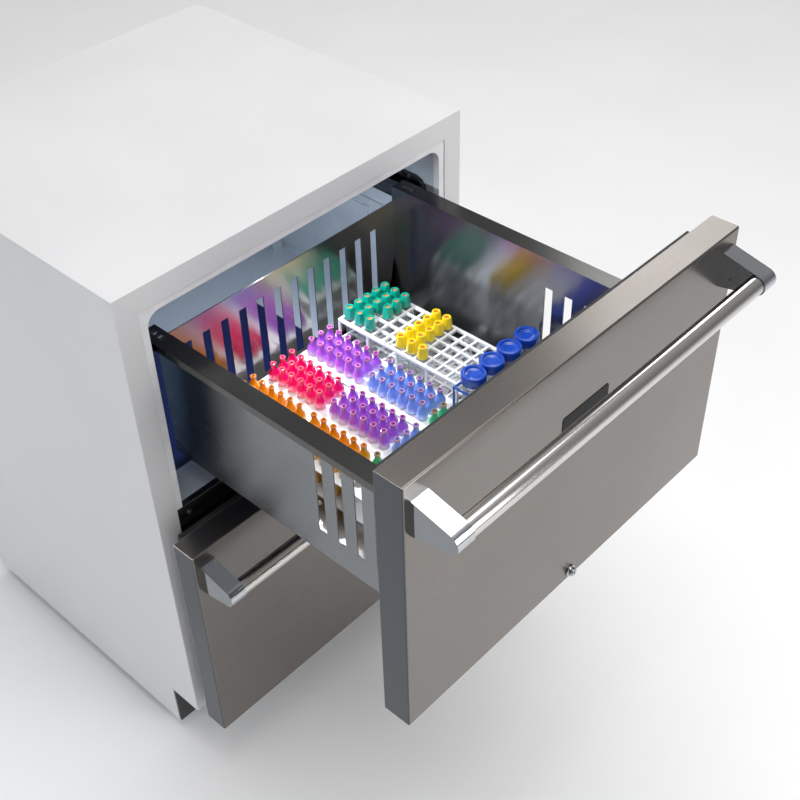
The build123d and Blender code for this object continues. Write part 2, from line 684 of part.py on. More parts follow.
def gasket(front_top, y_face, half, low, high):
    """The bellows seal round the back of a drawer front."""
    y0 = y_face + FRONT_THICK
    y1 = y0 + GASKET_DEPTH
    w = GASKET_WIDTH
    ring = block(-half, half, y0, y1, low, high)
    ring -= block(-half + w, half - w, y0 - 1, y1 + 1, low + w, high - w)
    groove = block(-half - 1, half + 1, y0 + 6, y0 + 9, low - 1, high + 1)
    groove -= block(-half + 3, half - 3, y0 + 5, y0 + 10, low + 3, high - 3)
    return ring - groove


def handle_bracket(front_top, y_face, side):
    """A chromed end bracket: tall foot that tapers to a round nose, bored for the bar."""
    bar_z = front_top - HANDLE_CENTRE_DROP
    bar_y = y_face - HANDLE_REACH
    foot_top = front_top - HANDLE_FOOT_TOP
    foot_low = foot_top - HANDLE_FOOT_HEIGHT
    x0 = HANDLE_OUTER_X - HANDLE_BRACKET_WIDTH
    r = HANDLE_NOSE_RADIUS
    nose = rod_x(bar_y, bar_z, x0, HANDLE_OUTER_X, r)
    up = tangent_point(y_face, foot_top, bar_y, bar_z, r, 1)
    down = tangent_point(y_face, foot_low, bar_y, bar_z, r, -1)
    web = prism_x([(y_face, foot_low), (y_face, foot_top), up, (bar_y, bar_z), down], x0, HANDLE_OUTER_X)
    bracket = nose + web
    bracket -= rod_x(bar_y, bar_z, x0 - 1, x0 + HANDLE_BAR_INSERT, HANDLE_BAR_RADIUS)
    bracket -= rod_x(y_face - 15, bar_z - 6, x0 - 1, x0 + 5, 2.5)
    return bracket if side > 0 else mirror(bracket, Plane.YZ)


def tangent_point(py, pz, cy, cz, radius, sign):
    """The point where a line from (py, pz) touches a circle, above or below it."""
    dy = cy - py
    dz = cz - pz
    length = math.hypot(dy, dz)
    base = math.atan2(-dz, -dy)
    swing = math.acos(radius / length)
    angle = base - sign * swing if dy < 0 else base + sign * swing
    first = (cy + radius * math.cos(angle), cz + radius * math.sin(angle))
    other = base + sign * swing if dy < 0 else base - sign * swing
    second = (cy + radius * math.cos(other), cz + radius * math.sin(other))
    return max(first, second, key=lambda point: sign * point[1])


def handle_screws(front_top, y_face):
    """Socket set screws in the inner faces of the brackets."""
    bar_z = front_top - HANDLE_CENTRE_DROP
    x0 = HANDLE_OUTER_X - HANDLE_BRACKET_WIDTH
    screw = rod_x(y_face - 15, bar_z - 6, x0 + 1, x0 + 5, 2.5)
    screw -= Pos(x0 + 1, y_face - 15, bar_z - 6) * Rot(0, 90, 0) * extrude(RegularPolygon(1.3, 6), amount=2)
    return [screw, mirror(screw, Plane.YZ)]


def handle_bar(front_top, y_face):
    """The brushed tube between the brackets."""
    x = HANDLE_OUTER_X - HANDLE_BRACKET_WIDTH + HANDLE_BAR_INSERT
    bar_y = y_face - HANDLE_REACH
    bar_z = front_top - HANDLE_CENTRE_DROP
    tube = rod_x(bar_y, bar_z, -x, x, HANDLE_BAR_RADIUS)
    return tube - rod_x(bar_y, bar_z, -x - 1, x + 1, HANDLE_BAR_RADIUS - 1.5)


def side_panel(front_top, y0, y1, side, slots):
    """A drawer side: a folded sheet with a rail cap along the top and air slots."""
    z = rail_z(front_top)
    x0 = BOX_INNER_HALF
    x1 = BOX_INNER_HALF + RAIL_WIDTH
    low = z - BOX_WALL_HEIGHT
    panel = block(x0, x0 + BOX_WALL, y0, y1, low, z)
    panel += block(x0, x1, y0, y1, z - RAIL_SHEET, z)
    panel += block(x1 - RAIL_SHEET, x1, y0, y1, z - RAIL_LIP, z)
    for index in range(slots):
        centre = y0 + SIDE_SLOT_FIRST + index * SIDE_SLOT_PITCH
        panel -= block(x0 - 1, x0 + BOX_WALL + 1, centre - SLOT_WIDTH / 2, centre + SLOT_WIDTH / 2,
                       z - SLOT_DROP - SLOT_LENGTH, z - SLOT_DROP)
    y_clip = y1 - 32
    panel -= block(x0 + 8, x0 + 16, y_clip, y_clip + 22, z - RAIL_SHEET - 1, z + 1)
    return panel if side > 0 else mirror(panel, Plane.YZ)


def rail_clip(front_top, y1, side):
    """The release clip let into the rear end of a rail, resting on the slide."""
    z = rail_z(front_top)
    x0 = BOX_INNER_HALF + 8.5
    y_clip = y1 - 31.5
    clip = block(x0, x0 + 7, y_clip, y_clip + 21, z - RAIL_SHEET, z)
    clip += rod_x(y_clip + 6, z, x0, x0 + 7, 1.1)
    clip += rod_x(y_clip + 16, z, x0, x0 + 7, 1.1)
    clip -= block(x0 - 1, x0 + 8, y_clip - 1, y_clip + 22, z - 9, z - RAIL_SHEET)
    return clip if side > 0 else mirror(clip, Plane.YZ)


def box_back(front_top, y1, slots):
    """The drawer's rear wall with its row of air slots."""
    z = rail_z(front_top)
    low = z - BOX_WALL_HEIGHT
    x = BOX_INNER_HALF
    wall = block(-x, x, y1 - BOX_WALL, y1, low, z - BACK_DROP)
    for index in range(slots):
        centre = (index - (slots - 1) / 2) * BACK_SLOT_PITCH
        wall -= block(centre - SLOT_WIDTH / 2, centre + SLOT_WIDTH / 2, y1 - BOX_WALL - 1, y1 + 1,
                      z - BACK_SLOT_DROP - SLOT_LENGTH, z - BACK_SLOT_DROP)
    return wall


def box_floor(front_top, y0, y1):
    """The drawer's floor pan with drain holes."""
    z = rail_z(front_top) - BOX_WALL_HEIGHT
    x = BOX_INNER_HALF
    pan = block(-x, x, y0, y1 - BOX_WALL, z, z + BOX_WALL)
    for column in range(5):
        for row in range(3):
            pan -= rod_z(-160 + column * 80, y0 + 60 + row * 90, z - 1, z + BOX_WALL + 1, 4)
    return pan


def box_front(front_top, y0):
    """The upright flange that ties the drawer box to the drawer front."""
    z = rail_z(front_top)
    low = z - BOX_WALL_HEIGHT
    return block(-BOX_INNER_HALF, BOX_INNER_HALF, y0, y0 + BOX_WALL, low + BOX_WALL, z - 4)


# ---------------------------------------------------------------------------
# display and lock on the upper front
# ---------------------------------------------------------------------------

def display_window(front_top, y_face):
    """The black touch display, flush in the front."""
    high = front_top - DISPLAY_TOP_DROP
    x = DISPLAY_WIDTH / 2
    return rounded_y(-x, x, high - DISPLAY_HEIGHT, high, y_face - 0.6, y_face + DISPLAY_DEPTH,
                     4.0, [(-1, 1), (1, 1), (-1, -1), (1, -1)])


def lock_z():
    """Height of the lock's axis."""
    return UPPER_FRONT_BOTTOM + LOCK_HEIGHT


def lock_barrel(y_face):
    """The fixed lock housing through the drawer front."""
    z = lock_z()
    y_back = y_face + FRONT_THICK
    barrel = rod_y(0, z, y_face - LOCK_PROUD, y_back, LOCK_RADIUS)
    barrel += rod_y(0, z, y_face - 2.5, y_face, LOCK_RADIUS + 2)
    return barrel - rod_y(0, z, y_face - LOCK_PROUD - 1, y_back + 3, LOCK_PLUG_RADIUS + LOCK_FIT)


def lock_plug(y_face):
    """The turning plug with its keyway and the flat cam behind the front."""
    z = lock_z()
    y_back = y_face + FRONT_THICK
    cam_y = y_back + FRONT_GAP - 4.4
    plug = rod_y(0, z, y_face - LOCK_PROUD - 0.8, cam_y, LOCK_PLUG_RADIUS)
    plug += rod_y(0, z, cam_y, cam_y + CAM_THICK, LOCK_PLUG_RADIUS)
    plug += block(-4, 4, cam_y, cam_y + CAM_THICK, z - CAM_LENGTH, z)
    plug -= block(-0.9, 0.9, y_face - LOCK_PROUD - 2, y_face + 6, z - 2.6, z + 2.6)
    return plug


# ---------------------------------------------------------------------------
# stored load
# ---------------------------------------------------------------------------

def vial(x, y, z):
    """A small tapered vial with a ring mouth."""
    shoulder = VIAL_HEIGHT - VIAL_NECK_LENGTH - VIAL_SHOULDER
    top = VIAL_HEIGHT - VIAL_NECK_LENGTH
    ring = VIAL_NECK_RADIUS + 0.5
    profile = [(0, 0), (VIAL_RADIUS - 1, 0), (VIAL_RADIUS, 1), (VIAL_RADIUS, shoulder),
               (VIAL_NECK_RADIUS + 0.3, top), (VIAL_NECK_RADIUS, VIAL_HEIGHT - 3), (ring, VIAL_HEIGHT - 2.4),
               (ring, VIAL_HEIGHT), (1.5, VIAL_HEIGHT), (1.5, VIAL_HEIGHT - 5), (0, VIAL_HEIGHT - 5)]
    return revolve_z(profile, x, y, z)


def vial_row_y(row):
    """The y position of a row of vials in the long racks; the rows stand in two blocks."""
    gap = VIAL_BLOCK_GAP - VIAL_PITCH_Y if row >= VIAL_BLOCK_ROWS else 0
    return VIAL_FIRST_Y - row * VIAL_PITCH_Y - gap


def front_row_y(row):
    """The y position of a row of vials in the short racks at the front of the drawer."""
    return FRONT_RACK_Y - row * VIAL_PITCH_Y


def vial_x(centre, column, columns):
    """The x position of a column of vials in a rack."""
    return centre + (column - (columns - 1) / 2) * VIAL_PITCH_X


def vial_group(rack, rows, z):
    """Every vial of one long rack between two row numbers."""
    group = []
    for row in rows:
        for column in range(VIAL_COLUMNS):
            x = vial_x(VIAL_RACK_CENTRES[rack], column, VIAL_COLUMNS)
            group.append(vial(x, vial_row_y(row), z + VIAL_RACK_SHEET))
    return group


def front_vials(rack, columns, z):
    """Vials in the rear row of one short rack."""
    count = FRONT_RACK_COLUMNS[rack]
    return [vial(vial_x(FRONT_RACK_CENTRES[rack], column, count), FRONT_RACK_Y, z + VIAL_RACK_SHEET)
            for column in columns]


def vial_rack(centre, columns, rows, z):
    """A white rack: pierced top plate, floor and two ends, for rows at the given y positions."""
    half = columns * VIAL_PITCH_X / 2 + VIAL_RACK_SIDE
    y1 = max(rows) + VIAL_PITCH_Y / 2 + VIAL_RACK_MARGIN
    y0 = min(rows) - VIAL_PITCH_Y / 2 - VIAL_RACK_MARGIN
    t = VIAL_RACK_SHEET
    high = z + VIAL_RACK_HEIGHT
    body = block(centre - half, centre + half, y0, y1, z, z + t)
    body += block(centre - half, centre + half, y0, y1, high - t, high)
    body += block(centre - half, centre + half, y0, y0 + t, z, high)
    body += block(centre - half, centre + half, y1 - t, y1, z, high)
    for y in rows:
        for column in range(columns):
            body -= rod_z(vial_x(centre, column, columns), y, high - t - 1, high + 1, VIAL_RADIUS + 0.35)
    return body


def tube_place(column, row):
    """The centre of one cell of the tube rack."""
    x = TUBE_RACK_LEFT + 3 + (column + 0.5) * TUBE_PITCH_X
    y = TUBE_RACK_BACK_Y - 3 - (row + 0.5) * TUBE_PITCH_Y
    return x, y


def tube_rack(z):
    """A white open rack: two square grids and a base grid on corner posts."""
    bar = TUBE_RACK_BAR
    x0 = TUBE_RACK_LEFT
    x1 = x0 + 6 + TUBE_COLUMNS * TUBE_PITCH_X
    y1 = TUBE_RACK_BACK_Y
    y0 = y1 - 6 - TUBE_ROWS * TUBE_PITCH_Y
    body = None
    for low, thick in ((z, 3.0), (z + TUBE_RACK_HEIGHT / 2, 2.5), (z + TUBE_RACK_HEIGHT - 4, 4.0)):
        plate = block(x0, x1, y0, y1, low, low + thick)
        for column in range(TUBE_COLUMNS):
            for row in range(TUBE_ROWS):
                cx, cy = tube_place(column, row)
                wx = TUBE_PITCH_X / 2 - bar / 2
                wy = TUBE_PITCH_Y / 2 - bar / 2
                if low > z:
                    plate -= block(cx - wx, cx + wx, cy - wy, cy + wy, low - 1, low + thick + 1)
                else:
                    plate -= rod_z(cx, cy, low - 1, low + thick + 1, 4.0)
        body = plate if body is None else body + plate
    for x in (x0, x1 - 3):
        for index in range(5):
            y = y0 + index * (y1 - y0 - 3) / 4
            body += block(x, x + 3, y, y + 3, z, z + TUBE_RACK_HEIGHT)
    return body


def tube(x, y, z):
    """A sample tube with its stopper, standing on the rack's base grid."""
    body_h = TUBE_HEIGHT - TUBE_CAP_HEIGHT
    r = TUBE_RADIUS
    c = TUBE_CAP_RADIUS
    profile = [(0, 0), (r - 2, 0), (r, 3), (r, body_h), (c, body_h), (c, body_h + 4),
               (c - 1.6, TUBE_HEIGHT - 1), (c - 2.2, TUBE_HEIGHT), (3.2, TUBE_HEIGHT), (3.2, TUBE_HEIGHT - 2),
               (0, TUBE_HEIGHT - 2)]
    return revolve_z(profile, x, y, z)


def tubes(rows, skip, z):
    """A block of stoppered tubes; skip names the empty cells."""
    group = []
    for row in rows:
        for column in range(TUBE_COLUMNS):
            if (column, row) not in skip:
                x, y = tube_place(column, row)
                group.append(tube(x, y, z + 3.0))
    return group


def bottle_places():
    """The centres of the four screw-cap tubes."""
    return [(BOTTLE_FIRST_X + index * BOTTLE_PITCH, BOTTLE_Y) for index in range(4)]


def bottle_body(x, y, z):
    """A conical-bottomed clear tube."""
    h = BOTTLE_HEIGHT - 2
    r = BOTTLE_RADIUS
    profile = [(0, 0), (3, 0), (r, 15), (r, h), (r - 1.2, h), (r - 1.2, 16), (2.4, 1.2), (0, 1.2)]
    return revolve_z(profile, x, y, z)


def bottle_cap(x, y, z):
    """A ribbed screw cap with a sunken top."""
    r = BOTTLE_CAP_RADIUS
    h = BOTTLE_CAP_HEIGHT
    low = BOTTLE_HEIGHT - h
    profile = [(BOTTLE_RADIUS + 0.1, 0), (r, 0), (r, h - 1.5), (r - 1.5, h), (r - 4, h), (r - 5.5, h - 2.5),
               (0, h - 2.5), (0, h - 4.5), (BOTTLE_RADIUS + 0.1, h - 4.5)]
    return revolve_z(profile, x, y, z + low)


def bottle_rack(z):
    """A blue coated-wire rack that holds the four screw-cap tubes."""
    w = BOTTLE_WIRE
    x0 = BOTTLE_FIRST_X - BOTTLE_PITCH / 2
    x1 = BOTTLE_FIRST_X + 3.5 * BOTTLE_PITCH
    y0 = BOTTLE_Y - BOTTLE_CAP_RADIUS - w
    y1 = BOTTLE_Y + BOTTLE_CAP_RADIUS + w
    body = None
    for level in (z + w, z + 34, z + 84):
        ring = rod_x(y0, level, x0 - w, x1 + w, w) + rod_x(y1, level, x0 - w, x1 + w, w)
        for index in range(5):
            ring += rod_y(x0 + index * BOTTLE_PITCH, level, y0, y1, 0.8 * w)
        body = ring if body is None else body + ring
    for index in range(5):
        for y in (y0, y1):
            body += rod_z(x0 + index * BOTTLE_PITCH, y, z + 0.3, z + 84 + 1.6 * w, 0.9 * w)
    body += rod_x(BOTTLE_Y, z + 1.2 * w, x0, x1, 0.9 * w)
    return body


# ---------------------------------------------------------------------------
# build and save
# ---------------------------------------------------------------------------

UP = UPPER_FRONT_TOP
LOW = LOWER_FRONT_TOP

save(side_sheet(-1), "cabinet_side_left")
save(side_sheet(1), "cabinet_side_right")
save(top_sheet(), "cabinet_top")
save(sill_sheet(), "cabinet_sill")
save(back_sheet(), "cabinet_back")
save(base_sheet(), "base_pan")
save(kick_grille(), "kick_grille")
save([breaker(MULLION_TOP, CABINET_HEIGHT - FACE_TOP, [(-1, 1), (1, 1)]),
      breaker(SILL_Z + SILL_HEIGHT, MULLION_BOTTOM, [])], "opening_trims")
save(mullion(), "mullion")
save(mullion_screws() + [screw for top in (UP, LOW) for side in (-1, 1) for screw in bracket_screws(top, side)],
     "cabinet_screws")
save(upper_liner(), "upper_liner")
save(lower_liner(), "lower_liner")
save(foam(), "insulation")
save([wall_duct(side) for side in (-1, 1)], "wall_ducts")
save([evaporator_cover(), fan_motor(FAN_X, EVAP_Z + EVAP_HEIGHT / 2, COVER_FRONT + 9, LINER_BACK, 20,
                                  ((90, 54), (210, 54), (330, 54)), 8)],
     "evaporator_cover")
save(finned_coil(-EVAP_WIDTH + 30, 30, LINER_BACK - 43, LINER_BACK, EVAP_Z, EVAP_Z + EVAP_HEIGHT, EVAP_FINS, 5),
     "evaporator_coil")
save(fan_rotor(FAN_X, EVAP_Z + EVAP_HEIGHT / 2, COVER_FRONT + 9, EVAP_FAN_RADIUS, 5), "evaporator_fan")
lamp = block(-LAMP_LENGTH / 2, LAMP_LENGTH / 2, LAMP_Y - LAMP_WIDTH / 2, LAMP_Y + LAMP_WIDTH / 2,
             UPPER_TOP - LAMP_DEPTH, UPPER_TOP)
save(chamfer(lamp.edges().group_by(Axis.Z)[0], 2.5), "interior_light")
save(strike(), "lock_strike")
save(compressor(), "compressor")
save(finned_coil(COND_X - 50, COND_X + CONDENSER_WIDTH - 50, 362, 396, COND_Z, COND_Z + CONDENSER_HEIGHT,
                 CONDENSER_FINS, 6), "condenser_coil")
save(fan_rotor(COND_X + 45, COND_Z + 100, 404, COND_FAN_RADIUS, 5), "condenser_fan")
save([fan_motor(COND_X + 45, COND_Z + 100, 404, 452, 28, ((0, 89), (90, 84), (180, 89)), 10), condenser_shroud()],
     "condenser_fan_motor")
save(power_inlet(), "power_inlet")
save([piece for side in (-1, 1) for piece in (fixed_slide(UP, SLIDE_REAR, side), slide_bracket(UP, side),
                                             fixed_slide(LOW, LOWER_SLIDE_REAR, side),
                                             slide_bracket(LOW, side))], "slide_tracks")
for index, (x, y) in enumerate(foot_places()):
    save(foot(x, y), "foot_" + ("front_left", "front_right", "rear_left", "rear_right")[index])

save([mid_slide(UP, SLIDE_REAR, PULL_OUT / 2, side) for side in (-1, 1)], "upper_slide_runners")
save([mid_slide(LOW, LOWER_SLIDE_REAR, 0, side) for side in (-1, 1)], "lower_slide_runners")

for prefix, top, y_face, depth in (("upper", UP, OPEN_FACE_Y, BOX_DEPTH),
                                   ("lower", LOW, CLOSED_FACE_Y, LOWER_BOX_DEPTH)):
    y_back = y_face + FRONT_THICK
    y_box = y_back + depth
    high = CABINET_HEIGHT - FACE_TOP + GASKET_LAP if prefix == "upper" else LOW - 11.5
    low = UP - FRONT_HEIGHT + GASKET_INSET if prefix == "upper" else SILL_Z + SILL_HEIGHT - 14
    half = HALF - FACE_SIDE + GASKET_LAP
    skin = front_skin(top, y_face)
    core = front_core(top, y_face)
    panel = inner_panel(top, y_face)
    if prefix == "upper":
        window = display_window(top, y_face)
        hole = rod_y(0, lock_z(), y_face - 2, y_back + 3, LOCK_RADIUS)
        skin = skin - window - hole
        core = core - window - hole
        panel = panel - hole
        save(window, "display_window")
        save(lock_barrel(y_face), "lock_barrel")
        save(lock_plug(y_face), "lock_plug")
    save(skin, prefix + "_front_skin")
    save([panel, core], prefix + "_front_panel")
    save(gasket(top, y_face, half, low, high), prefix + "_gasket")
    save([handle_bracket(top, y_face, side) for side in (-1, 1)] + handle_screws(top, y_face),
         prefix + "_handle_brackets")
    save(handle_bar(top, y_face), prefix + "_handle_bar")
    slots = SIDE_SLOTS
    save([side_panel(top, y_back, y_box, side, slots) for side in (-1, 1)], prefix + "_box_sides")
    save([box_back(top, y_box, BACK_SLOTS), box_floor(top, y_back + BOX_WALL, y_box),
          box_front(top, y_back)], prefix + "_box_pan")
    save([drawer_slide(top, y_back + 6, y_box - 34, side) for side in (-1, 1)]
         + [rail_clip(top, y_box, side) for side in (-1, 1)], prefix + "_slide_caps")

FLOOR = rail_z(UP) - BOX_WALL_HEIGHT + BOX_WALL
LONG_ROWS = [vial_row_y(row) for row in range(2 * VIAL_BLOCK_ROWS)]
SHORT_ROWS = [front_row_y(row) for row in range(VIAL_BLOCK_ROWS)]
save([vial_rack(centre, VIAL_COLUMNS, LONG_ROWS, FLOOR) for centre in VIAL_RACK_CENTRES]
     + [vial_rack(centre, columns, SHORT_ROWS, FLOOR)
        for centre, columns in zip(FRONT_RACK_CENTRES, FRONT_RACK_COLUMNS)], "vial_racks")
save(vial_group(0, range(12), FLOOR), "vials_amber")
save(vial_group(1, range(6), FLOOR), "vials_red")
save(vial_group(1, range(6, 12), FLOOR) + vial_group(2, range(6), FLOOR), "vials_purple")
save(vial_group(2, range(6, 12), FLOOR) + front_vials(1, range(3), FLOOR), "vials_blue")
save(front_vials(0, [2], FLOOR) + front_vials(2, range(2), FLOOR), "vials_green")
save(tube_rack(FLOOR), "tube_rack")
save(tubes(range(0, 3), [(1, 2)], FLOOR), "tubes_green")
save(tubes(range(5, 8), [(1, 7), (2, 7), (3, 7), (4, 7)], FLOOR), "tubes_yellow")
save([bottle_rack(FLOOR)]
     + [bottle_body(x, y, FLOOR + 2.2 * BOTTLE_WIRE) for x, y in bottle_places()]
     + [bottle_cap(x, y, FLOOR + 2.2 * BOTTLE_WIRE) for x, y in bottle_places()], "bottle_rack")
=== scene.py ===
"""Surfaces, finishes, light and camera for a two-drawer undercounter laboratory refrigerator."""
import math

import bmesh
import bpy
import numpy as np
from bpy.props import FloatProperty, FloatVectorProperty, PointerProperty
from mathutils import Matrix, Vector


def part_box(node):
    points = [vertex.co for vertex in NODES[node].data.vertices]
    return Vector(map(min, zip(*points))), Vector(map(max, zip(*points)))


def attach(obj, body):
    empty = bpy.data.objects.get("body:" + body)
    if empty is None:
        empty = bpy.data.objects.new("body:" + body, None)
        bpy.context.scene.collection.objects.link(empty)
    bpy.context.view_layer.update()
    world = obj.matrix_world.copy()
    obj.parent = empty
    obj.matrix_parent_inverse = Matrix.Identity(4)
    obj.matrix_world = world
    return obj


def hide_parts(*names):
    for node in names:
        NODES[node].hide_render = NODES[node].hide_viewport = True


bl_info = {
    "name": "Laboratory refrigerator looks",
    "version": (1, 0, 0),
    "blender": (4, 5, 0),
    "location": "View3D > Sidebar > Refrigerator",
    "description": "Builds the surfaces and finishes of an undercounter laboratory refrigerator",
    "category": "Object",
}

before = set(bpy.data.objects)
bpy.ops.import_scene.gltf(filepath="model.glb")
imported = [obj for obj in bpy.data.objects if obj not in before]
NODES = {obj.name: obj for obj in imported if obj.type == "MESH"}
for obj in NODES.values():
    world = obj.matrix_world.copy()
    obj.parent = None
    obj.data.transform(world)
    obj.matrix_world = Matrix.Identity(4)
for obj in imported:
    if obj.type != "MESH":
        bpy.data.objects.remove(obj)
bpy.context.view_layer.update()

DOUBLES = 1e-6  # metres; points nearer than this are one
FLAT_WITHIN = math.radians(0.6)  # neighbouring facets flatter than this are one face
STEEP = 0.7  # share of a normal along an axis that counts as facing it
RACKED_SHARE = 0.6  # share of a vial's height that stands in the rack


# ---------------------------------------------------------------------------
# mesh helpers
# ---------------------------------------------------------------------------

def grid_faces(nu, nv, wrap_u, wrap_v, start=0):
    """Quads between neighbouring points of a grid of nu by nv, wrapped where asked."""
    u = np.arange(nu if wrap_u else nu - 1)
    v = np.arange(nv if wrap_v else nv - 1)
    uu, vv = np.meshgrid(u, v, indexing="ij")
    un = (uu + 1) % nu
    vn = (vv + 1) % nv
    quads = np.stack([uu * nv + vv, un * nv + vv, un * nv + vn, uu * nv + vn], axis=-1)
    return quads.reshape(-1, 4) + start


def mesh_of(name, points, quads):
    """A mesh from an array of points and an array of quads, with doubles merged."""
    mesh = bpy.data.meshes.new(name)
    mesh.from_pydata(points.reshape(-1, 3).tolist(), [], quads.tolist())
    bm = bmesh.new()
    bm.from_mesh(mesh)
    bmesh.ops.remove_doubles(bm, verts=bm.verts, dist=DOUBLES)
    bmesh.ops.dissolve_degenerate(bm, edges=bm.edges, dist=1e-7)
    bmesh.ops.recalc_face_normals(bm, faces=bm.faces)
    bm.to_mesh(mesh)
    bm.free()
    mesh.update()
    return mesh


def piece(name, mesh, material, body, replaces=(), angle=40.0):
    """Links a mesh as one piece that rides on a body and stands for CAD nodes."""
    obj = bpy.data.objects.new(name, mesh)
    bpy.context.scene.collection.objects.link(obj)
    mesh.materials.append(material)
    mesh.polygons.foreach_set("use_smooth", np.ones(len(mesh.polygons), bool))
    mesh.set_sharp_from_angle(angle=math.radians(angle))
    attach(obj, body)
    if replaces:
        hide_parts(*replaces)
    return obj


def zoned(obj, *zones):
    """Gives the faces whose centres and normals pass a test a finish of their own."""
    mesh = obj.data
    count = len(mesh.polygons)
    centres, normals = np.empty(count * 3), np.empty(count * 3)
    mesh.polygons.foreach_get("center", centres)
    mesh.polygons.foreach_get("normal", normals)
    index = np.zeros(count, int)
    for material, test in zones:
        mesh.materials.append(material)
        index[test(centres.reshape(-1, 3), normals.reshape(-1, 3))] = len(mesh.materials) - 1
    mesh.polygons.foreach_set("material_index", index)
    mesh.update()
    return obj


def painted_highlight_edges(obj, material):
    """Gives the rounded edges of a piece a finish of their own: a painted highlight, much brighter than the sheet
    they are folded from.
    """
    obj.data.materials.append(material)
    obj.modifiers["rounded_edges"].material = len(obj.data.materials) - 1
    return obj


def weigh_normals(obj):
    """Keeps flat faces flat beside their rounded edges."""
    weighted = obj.modifiers.new("even_normals", "WEIGHTED_NORMAL")
    weighted.mode = "FACE_AREA_WITH_ANGLE"
    weighted.keep_sharp = True


def softened(node, width, material, body, segments=2, angle=35.0):
    """A copy of a CAD node, merged and cleaned, with its edges rounded by width."""
    mesh = NODES[node].data.copy()
    mesh.name = node + "_soft"
    mesh.materials.clear()
    bm = bmesh.new()
    bm.from_mesh(mesh)
    bmesh.ops.remove_doubles(bm, verts=bm.verts, dist=DOUBLES)
    for edge in bm.edges:
        edge.smooth = True
    bmesh.ops.dissolve_limit(bm, angle_limit=FLAT_WITHIN, verts=bm.verts, edges=bm.edges)
    bm.to_mesh(mesh)
    bm.free()
    obj = piece(node + "_shell", mesh, material, body, (node,), angle=angle)
    for attribute in ("sharp_edge", "custom_normal"):
        if attribute in mesh.attributes:
            mesh.attributes.remove(mesh.attributes[attribute])
    bevel = obj.modifiers.new("rounded_edges", "BEVEL")
    bevel.width = width
    bevel.segments = segments
    bevel.limit_method = "ANGLE"
    bevel.angle_limit = math.radians(angle)
    bevel.use_clamp_overlap = True
    weigh_normals(obj)
    return obj


def fluted(profile, depths, flutes, places, sides):
    """A profile of (radius, height) turned about +Z and repeated at each place.

    Round the axis the radius swells and sinks as r * (1 + depth * cos(flutes * angle)).
    """
    profile = np.asarray(profile, float)
    places = np.asarray(places, float)
    turn = np.arange(sides) * 2 * math.pi / sides
    swell = 1 + np.asarray(depths, float)[None, :] * np.cos(flutes * turn)[:, None]
    radius = profile[:, 0][None, :] * swell
    height = np.broadcast_to(profile[:, 1][None, :], radius.shape)
    one = np.stack([radius * np.cos(turn)[:, None], radius * np.sin(turn)[:, None], height], axis=-1)
    points = places[:, None, None, :] + one[None]
    count = sides * len(profile)
    quads = grid_faces(sides, len(profile), True, False)
    faces = (quads[None] + (np.arange(len(places)) * count)[:, None, None]).reshape(-1, 4)
    return points.reshape(-1, 3), faces


def turned(profile, places, sides):
    """A plain turned profile: r and height carried round a circle, repeated at each place."""
    return fluted(profile, np.zeros(len(profile)), 0, places, sides)


def rods(ends, radius, sides=10):
    """Round rods between pairs of points: a circle carried along the line, closed by a rounded tip at each end."""
    ends = np.asarray(ends, float)
    line = ends[:, 1] - ends[:, 0]
    length = np.linalg.norm(line, axis=1, keepdims=True)
    axis = line / length
    helper = np.where(np.abs(axis[:, 2:3]) > 0.9, [[1.0, 0.0, 0.0]], [[0.0, 0.0, 1.0]])
    across = np.cross(axis, helper)
    across /= np.linalg.norm(across, axis=1, keepdims=True)
    up = np.cross(axis, across)
    turn = np.arange(sides) * 2 * math.pi / sides
    stations = np.array([(0.0, 0.0, -1.0), (0.0, 0.7, -0.7), (0.0, 1.0, 0.0), (1.0, 1.0, 0.0), (1.0, 0.7, 0.7),
                         (1.0, 0.0, 1.0)])
    centre = (ends[:, 0, None] + line[:, None] * stations[None, :, 0, None]
              + axis[:, None] * stations[None, :, 2, None] * radius)
    ring = across[:, None] * np.cos(turn)[None, :, None] + up[:, None] * np.sin(turn)[None, :, None]
    points = centre[:, None] + ring[:, :, None] * stations[None, None, :, 1, None] * radius
    quads = grid_faces(sides, len(stations), True, False)
    count = sides * len(stations)
    faces = (quads[None] + (np.arange(len(ends)) * count)[:, None, None]).reshape(-1, 4)
    return points.reshape(-1, 3), faces


def solids(node):
    """Low and high corners of each separate solid in a CAD node, found by spreading the lowest label along edges."""
    mesh = NODES[node].data
    co = np.zeros(len(mesh.vertices) * 3)
    mesh.vertices.foreach_get("co", co)
    spots, which = np.unique(np.round(co.reshape(-1, 3), 6), axis=0, return_inverse=True)
    ends = np.zeros(len(mesh.edges) * 2, int)
    mesh.edges.foreach_get("vertices", ends)
    a, b = which.reshape(-1)[ends.reshape(-1, 2)].T
    label = np.arange(len(spots))
    while True:
        lowest = np.minimum(label[a], label[b])
        spread = label.copy()
        np.minimum.at(spread, a, lowest)
        np.minimum.at(spread, b, lowest)
        spread = spread[spread]
        if (spread == label).all():
            break
        label = spread
    names, group = np.unique(label, return_inverse=True)
    low = np.full((len(names), 3), 1e9)
    high = np.full((len(names), 3), -1e9)
    np.minimum.at(low, group, spots)
    np.maximum.at(high, group, spots)
    return low, high


def feet_of(low, high):
    """The point under the middle of each solid."""
    return np.stack([(low[:, 0] + high[:, 0]) / 2, (low[:, 1] + high[:, 1]) / 2, low[:, 2]], axis=-1)


# ---------------------------------------------------------------------------
# finishes
# ---------------------------------------------------------------------------

